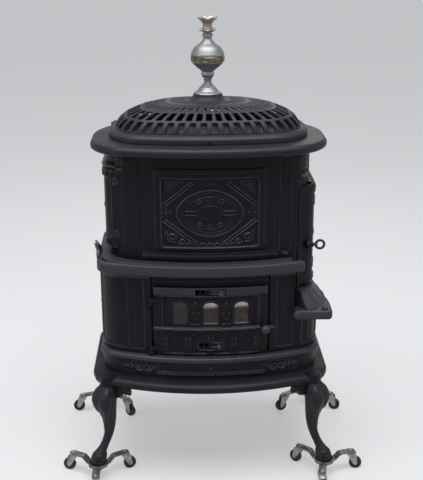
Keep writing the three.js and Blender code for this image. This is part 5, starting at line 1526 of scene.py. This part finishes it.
def front_door(size):
    """The front door, its ledge and its hinge knuckles. Cells inside the windows are left out,
    and the slides' pockets are sunk into it, with two air holes in each."""
    plan = LOWER_PLAN
    xs = axis_lines((-171.5, 171.5, 1.42))
    zs = axis_lines((415, 635, 1.42))
    x, z = np.meshgrid(xs, zs)
    mx, mz = cell_middles(xs, zs)
    keep = windows_inside(mx, mz) < 0
    for level, cavity in ((620, 50), (447, 40)):
        for i in (0, 1):
            keep &= np.hypot(mx - (10 + 16 * i - cavity), mz - level) > 6
    h = door_relief(x, z) * size.ornament
    # The top band above 611 mm is painted lighter, a painted highlight where the overhead lamp
    # falls; the slides' pockets are left out.
    worn_and_sheen = 0.6 * step(z - 611, 3)
    for level, half, cavity, rim in ((620, 10.4, 47, 0), (447, 13, 37, 1.2)):
        room = box_inside(x, z, (0, level), (cavity, half), 1.5)
        sunk = plan.fall(x) - 6.6
        h = np.where(room > 0, sunk, h) + rim * ridge(room + 3.4, 3.2)
        worn_and_sheen = np.where(room > -2, 0, worn_and_sheen)
    shape = Shape().add(*wall(plan, plan.front(x), z, h, back=-11.8, keep=keep,
                              offset=DOOR_OUT, worn_and_sheen=worn_and_sheen))
    # Ledge under the windows, with a round nose; it stops short of the latch.
    ledge = np.linspace(-171.5, 148, 150)
    s = plan.front(ledge)[:, None]
    nose = np.array([(3.4, 498.2), (12, 498.2), (14.6, 499.6), (15.8, 502), (15.8, 504.4),
                     (14.4, 506.8), (12, 508), (3.4, 509.6)])
    px, py = plan.at(s, nose[None, :, 0])
    # The ledge's relief value of 0.6 paints a sheen along it.
    shape.add(*skin(stack(px, py, nose[None, :, 1])[:, ::-1]), 0.6)
    knob_x, knob_z = LATCH
    face_y = plan.bowed(knob_x) - DOOR_OUT
    shape.add(*rod((knob_x, face_y + 10, knob_z), (knob_x, face_y - 1, knob_z), 12, 40, 1.2))
    hinge_y = plan.bowed(DOOR_PIN) - 9
    for level in DOOR_HINGES:
        low = level + LUG + GAP
        knuckle(shape, -DOOR_PIN, hinge_y, low)
        outline = [(-DOOR_PIN, hinge_y - 4), (-165.5, hinge_y - 5), (-165.5, hinge_y + 5),
                   (-DOOR_PIN, hinge_y + 5)]
        shape.add(*slab(outline, low + 0.4, low + 12.6, 1))
        strap = [(-166, low + 1.5), (-140, low + 2.5), (-134, low + 6.5), (-140, low + 10.5),
                 (-166, low + 11.5)]
        y = plan.bowed(150)
        shape.add(*slab(strap, -y + 3.5, -y + 6.4, 0.9, facing_front))
    shape.stand("front_door_cast", "front_door", "blacked_iron", "front_door", 42)


def slides():
    """The check slide above and the draft slide below: a plate with two bars and a knob, rubbed
    bright by the hand, each in its pocket."""
    for name, level, half, plate, rest, knob in (
            ("check_slide", 620, 8, 27, 22, 8.4), ("draft_slide", 447, 13, 22, 17, 7)):
        shape = Shape()
        front = LOWER_PLAN.half_depth + DOOR_OUT - 3.4 - GAP
        reach = half + 3 - GAP
        outline = oblong(rest - plate, level - reach, rest + plate, level + reach)
        shape.add(*slab(outline, front - 2.5, front, 0.4, facing_front))
        x = rest + plate / 3
        hand = [rod((rest - plate + 5, -front + 0.4, z), (rest + plate - 5, -front + 0.4, z),
                    2.4, 12, 0.8) for z in (level - half * 0.55, level + half * 0.55)]
        hand += [rod((x, -front + 1, level), (x, -232, level), 4, 24),
                 rod((x, -231.4, level), (x, -238.9, level), knob, 32, 2.6)]
        for bar in hand:
            shape.add(*bar, 1)
        shape.stand(f"{name}_polished", name, "blacked_iron", name)


def mica_windows():
    """The mica sheet behind the windows, rippled by heat in slow waves of up to 0.22 mm, and the
    sheet-steel frame that holds it."""
    plan = LOWER_PLAN
    xs, zs = axis_lines((-133.7, 133.7, 2.4)), axis_lines((503.3, 598.7, 2.4))
    x, z = np.meshgrid(xs, zs)
    wave = 0.12 * np.sin(x / 9 + z / 23) + 0.1 * np.sin(z / 7 - x / 31)
    sheet = Shape().add(*wall(plan, plan.front(x), z, -5.6 + wave, back=-6.1 + wave))
    sheet.stand("mica_sheet_flake", "front_door", "browned_mica", "mica_sheet")
    keep = windows_inside(*cell_middles(xs, zs)) < 0
    retainer = Shape().add(*wall(plan, plan.front(x), z, -6.4, back=-7.8, keep=keep))
    retainer.stand("mica_retainer_sheet", "front_door", "soiled_steel", "mica_retainer")


def door_latch():
    """Ball latch: a turned ball with a collar, on a stem, and a tapered bar that catches over
    the column."""
    x, z = LATCH
    y = LOWER_PLAN.bowed(x) - DOOR_OUT
    shape = Shape().add(*rod((x, y + 6, z), (x, y - 17, z), 4, 28))
    shape.add(*rod((x, y - 7, z), (x, y - 10, z), 7, 32, 1))
    bar = [(160, 496.5), (166, 494.8), (190, 496.8), (196, 498.6), (196, 503.4), (190, 505.2),
           (166, 507.2), (160, 505.5)]
    shape.add(*slab(bar, -y + 2, -y + 7, 1, facing_front))
    shape.add(*ball((x, y - 24, z), 14, 22, 44))
    shape.add(*rod((x, y - 36.5, z), (x, y - 38.4, z), 3.4, 20, 0.8))
    shape.stand("door_latch_polished", "door_latch", "rail_iron", "door_latch")


# ---- feed door, hearth and flue
def feed_relief(middle, s, z):
    """Feed door: a raised rounded frame, and a sunk field with a rosette between leaves and
    scrolls in its corners."""
    ds = s - middle
    inside = box_inside(s, z, (middle, 768), (112, 136), 24)
    h = -plateau(inside, 3.4, 2.5) + 1.8 * ridge(inside, 3) + 1.2 * ridge(inside + 12, 3)
    h = h + 3.4 * rosette(s, z, (middle, 768), 34, 12)
    h = h + leaf_cross(ds, z - 768, (3, 28, 40, 80, 5), (2.6, 22, 40, 58, 4))
    for side, end in QUARTERS:
        h = h + 2.6 * curl(side * ds, end * (z - 768), (82, 104), 17, 2.5, 240, 1.4, 3.4, 1.8)
    return h


RING_AT = (-136, 740)  # y and level of the ring's spindle


def feed_door(size):
    """The side feed door: a bowed leaf with an arched head and round edges, turned in over the
    corner at the front, the ring's boss and two hinge straps on knuckles. The grid's rows are
    squeezed under the arch, whose top falls by 10 mm * (distance from the middle / half
    width)^4."""
    plan = UPPER_PLAN
    start, stop = plan.front(267), plan.back(267)
    middle, half = plan.side(0), (stop - start) / 2
    s = axis_lines((start, start + 20, 1.6), (start + 20, stop - 20, 2.4), (stop - 20, stop, 1.6))
    t = axis_lines((0, 20, 1.6), (20, 305, 2.4), (305, 325, 1.6)) / 325
    gs, gt = np.meshgrid(s, t)
    gz = 605 + (325 - 10 * np.abs((gs - middle) / half) ** 4) * gt
    from_front = gs - start
    from_edge = np.minimum(stop - gs, np.minimum(gt, 1 - gt) * 325)
    h = 21.8 - 18.4 * (1 - step(from_front - 32, 32)) - 9 * (1 - pillow(from_edge, 18))
    art = feed_relief(middle, gs, gz) * step(np.minimum(from_edge, from_front) - 10, 5)
    h = np.maximum(h, 3.4) + size.ornament * art
    back = np.where(from_front < 10, 2.2, 12)
    shape = Shape().add(*wall(plan, gs, gz, h, back=np.minimum(back, h - 1.2)))
    shape.add(*rod((296, *RING_AT), (316, *RING_AT), 9, 36, 1.6))
    shape.add(*rod((296, *RING_AT), (310.5, *RING_AT), 13, 40, 1.8))
    for level in FEED_HINGES:
        low = level + LUG + GAP
        knuckle(shape, *FEED_PIN, low)
        outline = [(262, 182), (268, 168), (275.5, 157.6), (286, 157.2), (284, 168), (275, 183),
                   (268, 190), (262, 190)]
        shape.add(*slab(outline, low + 0.3, low + 12.7, 1))
    shape.stand("feed_door_cast", "feed_door", "blacked_iron", "feed_door", 42)


def feed_ring(size):
    """The ring handle: a forged ring through an eye on a collared spindle."""
    y, z = RING_AT
    bar = size.ring_bar / MM
    angle = np.arange(72) * TAU / 72
    loop = stack(338 + (17 - bar) * np.cos(angle), y + 0 * angle, z + (17 - bar) * np.sin(angle))
    shape = Shape().add(*tube(loop, bar, 16, closed=True))
    shape.add(*rod((300.5, y, z), (325, y, z), 4, 24))
    shape.add(*rod((316.3, y, z), (319.3, y, z), 7, 32, 0.9))
    shape.add(*ball((325, y, z), 6, 12, 24))
    shape.stand("feed_ring_polished", "feed_ring", "rail_iron", "feed_door_ring")


def side_hearth(size):
    """The shelf under the feed door: a curved plan with a rounded nose, a round knob on its front
    corner, and the leaf-ribbed apron that sweeps up to the door. The apron's face leaves the wall
    by 24.5 + 38 * (1 - t)^1.9 mm as t rises from the shelf to the door, with ribs that fan out."""
    t = np.linspace(0, TAU / 4, 14)
    nose = np.stack([362 + 14 * np.sin(t), -187 - 14 * np.cos(t)], axis=1)
    # The outer edge: a cubic Bezier curve and then a quadratic one.
    t = np.linspace(0, 1, 18)[1:, None]
    p0, p1, p2, p3 = np.array([(376, -187), (379.8, -120.6), (376, -70.4), (362, -50.3)])
    outer = (1 - t) ** 3 * p0 + 3 * (1 - t) ** 2 * t * p1 + 3 * (1 - t) * t ** 2 * p2 + t ** 3 * p3
    q1, q2 = np.array([(348, -20.1), (348, 30)])
    inner = (1 - t) ** 2 * p3 + 2 * (1 - t) * t * q1 + t ** 2 * q2
    outline = np.concatenate([[(257.5, 30), (257.5, -194), (262, -200), (362, -201)], nose[1:],
                              outer, inner])
    edge = ((515.3, 7), (516.2, 3.4), (519, 1), (523, 0), (537, 0), (541, 1), (543.9, 3.4),
            (544.8, 7))
    shape = Shape().add(*inset_skin(outline, edge))
    plan = UPPER_PLAN
    s = np.linspace(plan.front(267), plan.side(24), 190)
    t = np.linspace(0, 1, 40)[:, None]
    rib = np.abs(np.sin((s - s[0]) / (s[-1] - s[0]) * math.pi * 7))[None, :] ** 0.6
    out = 22.5 + 38 * (1 - t) ** 1.9 + 3.4 * rib * np.sin(math.pi * t ** 0.8) * size.ornament
    px, py = plan.at(s[None, :] + 0 * out, out)
    px = np.minimum(px, 366 - 0.1 * np.maximum(py + 60, 0) ** 1.2)
    py = np.maximum(py, -194)
    end = np.clip((plan.side(24) - s) / 34, 0, 1)[None, :]
    z = 544 + 54 * t * (0.15 + 0.85 * np.sqrt(end))
    bx, by = plan.at(s[None, :] + 0 * out, GAP + 0 * out)
    points, faces, _ = sheet_skin(stack(px, py, z), stack(bx, by, z))
    shape.add(points, faces, np.concatenate([(0.5 * rib * np.sin(math.pi * t)).ravel(),
                                             np.zeros(out.size)]))
    # Rolled rim where the apron meets the shelf, a curl at its outer end and the corner knob.
    shape.add(*tube(stack(px[1], py[1], z[1] + 0 * px[1])[4:-8], 3.4, 12))
    shape.add(*ball((352, -186, 549), 10, 14, 28, 0.9))
    shape.add(*ball((266, -192, 530), 12.5, 18, 32))
    shape.stand("side_hearth_cast", "stove", "rail_iron", "side_hearth", 42)


def flue_collar():
    """The flue collar on the back: a flange bedded on the wall with four bolts, and a short
    beaded pipe end. A lathe profile about the y axis."""
    wall_y = UPPER_PLAN.half_depth
    profile = np.array([(70, -2), (93, -2), (94, 1), (94, 5.4), (92.6, 7), (80, 7.2), (77, 9),
                        (75.6, 12), (75, 16), (75, 40), (76.8, 42), (76.8, 45), (75, 47), (75, 54),
                        (74, 55), (71, 55), (70, 54)])
    radius, y = (profile + (0, wall_y)).T
    angle = np.arange(96) * TAU / 96
    x = radius[:, None] * np.cos(angle)
    z = FLUE - radius[:, None] * np.sin(angle)
    settle = np.clip(1 - (y[:, None] - wall_y) / 9, 0, 1)
    grid = stack(x, y[:, None] - UPPER_PLAN.fall(x) * settle, z)
    shape = Shape().add(*skin(grid, round_rows=True, caps=False))
    for turn in (45, 135, 225, 315):
        bx, bz = 85 * math.cos(math.radians(turn)), FLUE + 85 * math.sin(math.radians(turn))
        by = wall_y + 6 - 0.2 * UPPER_PLAN.fall(bx)
        shape.add(*rod((bx, by - 2, bz), (bx, by + 4.6, bz), 5, 6, 0.6))
    shape.stand("flue_collar_cast", "stove", "blacked_iron", "flue_collar")


def firebox():
    """The fire pot, grate and ash pan keep their CAD shapes and get finishes, so that what shows
    through the doors is iron and sheet steel."""
    for node, material in (("fire_pot", "blacked_iron"), ("grate", "blacked_iron"),
                           ("ash_pan", "soiled_steel")):
        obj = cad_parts[node]
        for i in range(len(obj.data.materials)):
            obj.data.materials[i] = finish(material)


# ---- caster dollies
DOLLY_TURNS = {"front_left": 0, "front_right": -12, "back_right": 180, "back_left": 168}
CASTER_TURNS = {"front_left": (-75, 20, 165), "front_right": (-70, 5, 150),
                "back_right": (-75, 20, 165), "back_left": (-70, 5, 150)}
ARMS = (-90, 30, 150)
FOOT = (360, 235)  # the middle of a dolly
ARM_OUT = 94  # a swivel's stem, from the dolly's middle
AXLE_OUT, AXLE_UP = 16, 20  # the axle, from the swivel's stem and from the floor


def spider_shape():
    """Cup and three bent strap arms, each with a rib pressed into it and a rounded tip."""
    shape = Shape().add(*lathe([(0.5, 42.2), (29.6, 42.2), (31, 43.4), (31, 52.8), (30.4, 54),
                                (28.6, 54), (28, 53.2), (28, 46.1), (0.5, 46.1)], 72))
    for turn in ARMS:
        c, s = math.cos(math.radians(turn)), math.sin(math.radians(turn))
        u = np.concatenate([[23, 30, 34], np.linspace(36, 52, 8), [56, 70, 80, 94],
                            107 - 12 * (1 - np.sin(np.linspace(0, TAU / 4, 8)[1:]))])
        level = np.interp(u, [23, 35.5, 53.5, 107], [42, 42, 58, 58])
        half = np.where(u > 95, 12 * np.sqrt(np.clip(1 - ((u - 95) / 12.2) ** 2, 0.004, 1)), 12)
        half = np.where(u < 36, 12, half)
        v = np.linspace(-1, 1, 13)
        gu, gv = np.meshgrid(u, v)
        across = gv * half[None, :]
        rib = 1.6 * np.exp(-(across / 3.2) ** 2) * step(gu - 38, 4) * step(80 - gu, 5)
        base = level[None, :] + 0 * gv
        top = stack(gu * c - across * s, gu * s + across * c, base + 4 + rib)
        low = stack(gu * c - across * s, gu * s + across * c, base + 0.2)
        points, faces, _ = sheet_skin(top, low)
        shape.add(points, faces)
    return shape


def fork_shape():
    """Swivel fork at its stem, with the wheel behind along +x: a crown, two tapered cheeks with
    eased edges, a riveted head, a bearing ring and the axle's rivet heads."""
    shape = Shape()
    outline = [(-12, 57.4), (-12, 51.7), (9.6, 17.4), (12.2, 14.7), (16, 13.5), (19.8, 14.7),
               (22.2, 17.8), (22.5, 20), (18, 51.7), (12, 57.4)]
    for low in (-10.9, 8.4):
        shape.add(*slab(outline, -(low + 2.5), -low, 0.6, facing_front))
    shape.add(*slab(oblong(-12, -10.9, 12, 10.9), 51.7, 57.5, 1.2))
    shape.add(*lathe([(0.5, 57), (10, 57), (10.6, 57.2), (10.6, 57.6), (4, 57.7), (4, 62.1),
                      (6.4, 62.3), (7, 63), (6.2, 64.9), (3.5, 66), (0.5, 66.1)], 32))
    for side in (-1, 1):
        shape.add(*rod((AXLE_OUT, side * 7, AXLE_UP), (AXLE_OUT, side * 11.9, AXLE_UP), 3.4, 20,
                       0.9))
    shape.add(*rod((AXLE_OUT, -9, AXLE_UP), (AXLE_OUT, 9, AXLE_UP), 2.9, 16))
    return shape


def wheel_shape():
    """Wheel about the y axis at the origin: a crowned tread, a sunk web and a hub. The profile
    gives radius against width."""
    half = np.array([(3.5, -7.4), (6.4, -7.4), (7.2, -6.4), (8, -4.6), (13.4, -4.6), (14.6, -6.6),
                     (16, -7.3), (18.6, -7.1), (19.7, -5.6), (20, -3)])
    radius, width = np.concatenate([half, half[::-1] * (1, -1)]).T
    angle = np.arange(48) * TAU / 48
    grid = stack(radius[:, None] * np.sin(angle), width[:, None] + 0 * angle,
                 radius[:, None] * np.cos(angle))
    return Shape().add(*skin(grid, round_rows=True, caps=False))


def turned(x, y, angle):
    """A point turned about the upright axis by an angle in degrees."""
    c, s = math.cos(math.radians(angle)), math.sin(math.radians(angle))
    return x * c - y * s, x * s + y * c


def dollies():
    """Four dollies with three swivel casters each, placed by turning and moving whole arrays."""
    spider, fork, wheel = spider_shape(), fork_shape(), wheel_shape()
    for sx, sy, corner in CORNERS:
        cx, cy, base = sx * FOOT[0], sy * FOOT[1], DOLLY_TURNS[corner]
        spider.moved(base, (cx, cy, 0)).stand(f"spider_{corner}_plated", "stove",
                                              "browned_steel", f"spider_{corner}")
        for i, (arm, swivel) in enumerate(zip(ARMS, CASTER_TURNS[corner]), 1):
            ax, ay = turned(ARM_OUT, 0, base + arm)
            angle = base + swivel
            wx, wy = turned(AXLE_OUT, 0, angle)
            name = f"fork_{corner}_{i}"
            fork.moved(angle, (cx + ax, cy + ay, 0)).stand(
                f"{name}_plated", name, "spangled_zinc", name)
            name = f"wheel_{corner}_{i}"
            wheel.moved(angle, (cx + ax + wx, cy + ay + wy, AXLE_UP)).stand(
                f"{name}_tread", name, "caster_tread", name)


# ---- stage
class StoveView(bpy.types.PropertyGroup):
    """Where the camera stands."""

    height: bpy.props.FloatProperty(
        name="Eye height", description="Height of the camera above the floor", default=1.68,
        unit="LENGTH")
    distance: bpy.props.FloatProperty(
        name="Distance", description="From the camera to the stove's middle, on the floor",
        default=2.89, unit="LENGTH")
    down: bpy.props.FloatProperty(
        name="Looking down", description="Angle of the camera below level",
        default=math.radians(18.5), subtype="ANGLE")
    turn: bpy.props.FloatProperty(
        name="Turn", description="How far the camera stands to the left of the stove's front",
        default=math.radians(1.5), subtype="ANGLE")
    roll: bpy.props.FloatProperty(
        name="Roll", description="Tilt of the camera about its view", default=math.radians(0.3),
        subtype="ANGLE")
    focal: bpy.props.FloatProperty(
        name="Focal length", description="In picture widths", default=2.2506)
    aside: bpy.props.FloatProperty(
        name="Aside", description="How far left of the picture's middle the stove stands, in "
        "picture widths", default=0.0108)


def stage(view):
    """Pale floor, even sky, a soft overhead lamp, weak lamps at the sides and behind, and the
    camera."""
    scene = bpy.context.scene
    mesh = bpy.data.meshes.new("floor")
    reach = 40.0
    mesh.from_pydata([(-reach, -reach, 0), (reach, -reach, 0), (reach, reach, 0),
                      (-reach, reach, 0)], [], [(0, 1, 2, 3)])
    floor = bpy.data.objects.new("floor", mesh)
    scene.collection.objects.link(floor)
    f = Finish("pale_floor")
    tone = f.noise(1.2, 3).clamped(0.2, 0.8)
    pale = scene.stove_finishes.floor
    lit = f.mixed(f.seen(), (0, 0, 0), shaded(pale, 1.2))
    mesh.materials.append(f.done(
        Base_Color=f.mixed(tone, pale, shaded(pale, 0.97)), Roughness=0.85,
        Specular_IOR_Level=0.2, Emission_Color=lit, Emission_Strength=1.0))
    sky = Finish("studio", "worlds")
    even = sky.mixed(sky.seen(), (0.36, 0.37, 0.388), (0.57, 0.575, 0.59))
    sky.node("ShaderNodeOutputWorld", sockets={
        "Surface": sky.node("ShaderNodeBackground", sockets={"Color": even})})
    scene.world = sky.block

    def lamp(name, place, aim, size, power):
        """An area lamp at a place, turned towards aim."""
        light = bpy.data.lights.new(name, "AREA")
        light.shape, light.size, light.size_y = "RECTANGLE", *size
        light.energy = power
        obj = bpy.data.objects.new(name, light)
        obj.location = place
        obj.rotation_euler = (Vector(aim) - Vector(place)).to_track_quat("-Z", "Y").to_euler()
        scene.collection.objects.link(obj)

    lamp("overhead", (-0.2, -0.9, 4.5), (0, -0.1, 1.0), (4.2, 3.2), 250)
    lamp("left_soft", (-2.9, -1.4, 1.9), (0, 0, 0.6), (1.3, 1.3), 14)
    lamp("right_soft", (2.9, -0.9, 1.7), (0, 0, 0.6), (1.3, 1.3), 8)
    lamp("behind", (0.4, 2.9, 2.2), (0, 0, 0.8), (1.6, 1.0), 9)

    camera = bpy.data.cameras.new("camera")
    camera.sensor_fit = "HORIZONTAL"
    camera.sensor_width = 36
    camera.lens = 36 * view.focal
    eye = bpy.data.objects.new("camera", camera)
    scene.collection.objects.link(eye)
    turn = view.turn
    eye.location = (-view.distance * math.sin(turn), -view.distance * math.cos(turn), view.height)
    eye.rotation_euler = (math.pi / 2 - view.down, view.roll, -turn)
    camera.shift_x = view.aside
    scene.camera = eye
    scene.view_settings.view_transform = "Standard"


# ---- operators and panel
class STOVE_OT_base(bpy.types.Operator):
    """Cast the base: skirt ring, ornamental band and rail"""

    bl_idname = "stove.base"
    bl_label = "Base casting"

    def execute(self, context):
        base_casting(context.scene.stove_sizes)
        return {"FINISHED"}


class STOVE_OT_legs(bpy.types.Operator):
    """Cast the four cabriole legs with their brackets"""

    bl_idname = "stove.legs"
    bl_label = "Legs"

    def execute(self, context):
        legs(context.scene.stove_sizes)
        return {"FINISHED"}


class STOVE_OT_lower_frame(bpy.types.Operator):
    """Cast the frame behind the front door"""

    bl_idname = "stove.lower_frame"
    bl_label = "Lower front frame"

    def execute(self, context):
        lower_front_frame()
        return {"FINISHED"}


class STOVE_OT_lower_left(bpy.types.Operator):
    """Cast the reeded lower left side"""

    bl_idname = "stove.lower_left"
    bl_label = "Lower left side"

    def execute(self, context):
        lower_left_side(context.scene.stove_sizes)
        return {"FINISHED"}


class STOVE_OT_back(bpy.types.Operator):
    """Cast the tall back with its flue hole"""

    bl_idname = "stove.back"
    bl_label = "Back casting"

    def execute(self, context):
        back_casting()
        return {"FINISHED"}


class STOVE_OT_right_side(bpy.types.Operator):
    """Cast the right side with its feed opening"""

    bl_idname = "stove.right_side"
    bl_label = "Right side casting"

    def execute(self, context):
        right_casting(context.scene.stove_sizes)
        return {"FINISHED"}


class STOVE_OT_belt(bpy.types.Operator):
    """Cast the belt rail and the shelf behind it"""

    bl_idname = "stove.belt"
    bl_label = "Belt"

    def execute(self, context):
        belt()
        return {"FINISHED"}


class STOVE_OT_upper_front(bpy.types.Operator):
    """Cast the ornamental front panel"""

    bl_idname = "stove.upper_front"
    bl_label = "Upper front panel"

    def execute(self, context):
        upper_front_panel(context.scene.stove_sizes)
        return {"FINISHED"}


class STOVE_OT_upper_left(bpy.types.Operator):
    """Cast the upper left side with its false door"""

    bl_idname = "stove.upper_left"
    bl_label = "Upper left side"

    def execute(self, context):
        upper_left_side(context.scene.stove_sizes)
        return {"FINISHED"}


class STOVE_OT_top_plate(bpy.types.Operator):
    """Cast the top plate and its broad rim"""

    bl_idname = "stove.top_plate"
    bl_label = "Top plate"

    def execute(self, context):
        top_plate()
        return {"FINISHED"}


class STOVE_OT_cook_lid(bpy.types.Operator):
    """Cast the round lid of the cook hole"""

    bl_idname = "stove.cook_lid"
    bl_label = "Cook lid"

    def execute(self, context):
        cook_lid()
        return {"FINISHED"}


class STOVE_OT_dome(bpy.types.Operator):
    """Cast the pierced dome that swings aside"""

    bl_idname = "stove.dome"
    bl_label = "Swing dome"

    def execute(self, context):
        swing_dome(context.scene.stove_sizes)
        return {"FINISHED"}


class STOVE_OT_finial(bpy.types.Operator):
    """Turn and plate the finial's four pieces"""

    bl_idname = "stove.finial"
    bl_label = "Finial"

    def execute(self, context):
        finial(context.scene.stove_sizes)
        return {"FINISHED"}


class STOVE_OT_front_door(bpy.types.Operator):
    """Cast the front door with its arches and ledge"""

    bl_idname = "stove.front_door"
    bl_label = "Front door"

    def execute(self, context):
        front_door(context.scene.stove_sizes)
        return {"FINISHED"}


class STOVE_OT_slides(bpy.types.Operator):
    """Make the check slide and the draft slide"""

    bl_idname = "stove.slides"
    bl_label = "Slides"

    def execute(self, context):
        slides()
        return {"FINISHED"}


class STOVE_OT_mica(bpy.types.Operator):
    """Cut the mica sheet and its steel frame"""

    bl_idname = "stove.mica"
    bl_label = "Mica windows"

    def execute(self, context):
        mica_windows()
        return {"FINISHED"}


class STOVE_OT_latch(bpy.types.Operator):
    """Turn the front door's ball latch"""

    bl_idname = "stove.latch"
    bl_label = "Ball latch"

    def execute(self, context):
        door_latch()
        return {"FINISHED"}


class STOVE_OT_feed_door(bpy.types.Operator):
    """Cast the side feed door"""

    bl_idname = "stove.feed_door"
    bl_label = "Feed door"

    def execute(self, context):
        feed_door(context.scene.stove_sizes)
        return {"FINISHED"}


class STOVE_OT_feed_ring(bpy.types.Operator):
    """Forge the feed door's ring handle"""

    bl_idname = "stove.feed_ring"
    bl_label = "Ring handle"

    def execute(self, context):
        feed_ring(context.scene.stove_sizes)
        return {"FINISHED"}


class STOVE_OT_hearth(bpy.types.Operator):
    """Cast the side hearth and its apron"""

    bl_idname = "stove.hearth"
    bl_label = "Side hearth"

    def execute(self, context):
        side_hearth(context.scene.stove_sizes)
        return {"FINISHED"}


class STOVE_OT_flue(bpy.types.Operator):
    """Cast the flue collar with its bolts"""

    bl_idname = "stove.flue"
    bl_label = "Flue collar"

    def execute(self, context):
        flue_collar()
        return {"FINISHED"}


class STOVE_OT_firebox(bpy.types.Operator):
    """Finish the fire pot, the grate and the ash pan"""

    bl_idname = "stove.firebox"
    bl_label = "Firebox"

    def execute(self, context):
        firebox()
        return {"FINISHED"}


class STOVE_OT_dollies(bpy.types.Operator):
    """Make the four dollies with their swivel casters"""

    bl_idname = "stove.dollies"
    bl_label = "Caster dollies"

    def execute(self, context):
        dollies()
        return {"FINISHED"}


class STOVE_OT_stage(bpy.types.Operator):
    """Set up the pale floor, the lamps and the camera"""

    bl_idname = "stove.stage"
    bl_label = "Stage"

    def execute(self, context):
        stage(context.scene.stove_view)
        return {"FINISHED"}


OPERATORS = (
    STOVE_OT_base, STOVE_OT_legs, STOVE_OT_lower_frame, STOVE_OT_lower_left, STOVE_OT_back,
    STOVE_OT_right_side, STOVE_OT_belt, STOVE_OT_upper_front, STOVE_OT_upper_left,
    STOVE_OT_top_plate, STOVE_OT_cook_lid, STOVE_OT_dome, STOVE_OT_finial,
    STOVE_OT_front_door, STOVE_OT_slides, STOVE_OT_mica, STOVE_OT_latch, STOVE_OT_feed_door,
    STOVE_OT_feed_ring, STOVE_OT_hearth, STOVE_OT_flue, STOVE_OT_firebox, STOVE_OT_dollies,
    STOVE_OT_stage,
)


class STOVE_PT_maker(bpy.types.Panel):
    """The sizes, the finishes, the view and a button for every piece"""

    bl_idname = "STOVE_PT_maker"
    bl_label = "Parlour stove"
    bl_space_type = "VIEW_3D"
    bl_region_type = "UI"
    bl_category = "Stove"

    def draw(self, context):
        scene = context.scene
        for group in (scene.stove_sizes, scene.stove_finishes, scene.stove_view):
            column = self.layout.column(align=True)
            for name in group.__annotations__:
                column.prop(group, name)
        column = self.layout.column(align=True)
        for operator in OPERATORS:
            column.operator(operator.bl_idname, text=operator.bl_label)


GROUPS = {"stove_sizes": StoveSizes, "stove_finishes": StoveFinishes, "stove_view": StoveView}


def register():
    """Adds the classes, and the settings to the scene."""
    for cls in (*GROUPS.values(), *OPERATORS, STOVE_PT_maker):
        bpy.utils.register_class(cls)
    for name, group in GROUPS.items():
        setattr(bpy.types.Scene, name, bpy.props.PointerProperty(type=group))


def unregister():
    """Takes the settings and the classes away."""
    for name in GROUPS:
        delattr(bpy.types.Scene, name)
    for cls in (STOVE_PT_maker, *reversed(OPERATORS), *reversed(GROUPS.values())):
        bpy.utils.unregister_class(cls)


def main():
    """Builds every piece and the stage."""
    register()
    for operator in OPERATORS:
        getattr(bpy.ops.stove, operator.bl_idname.split(".")[1])()


if __name__ == "__main__":
    main()
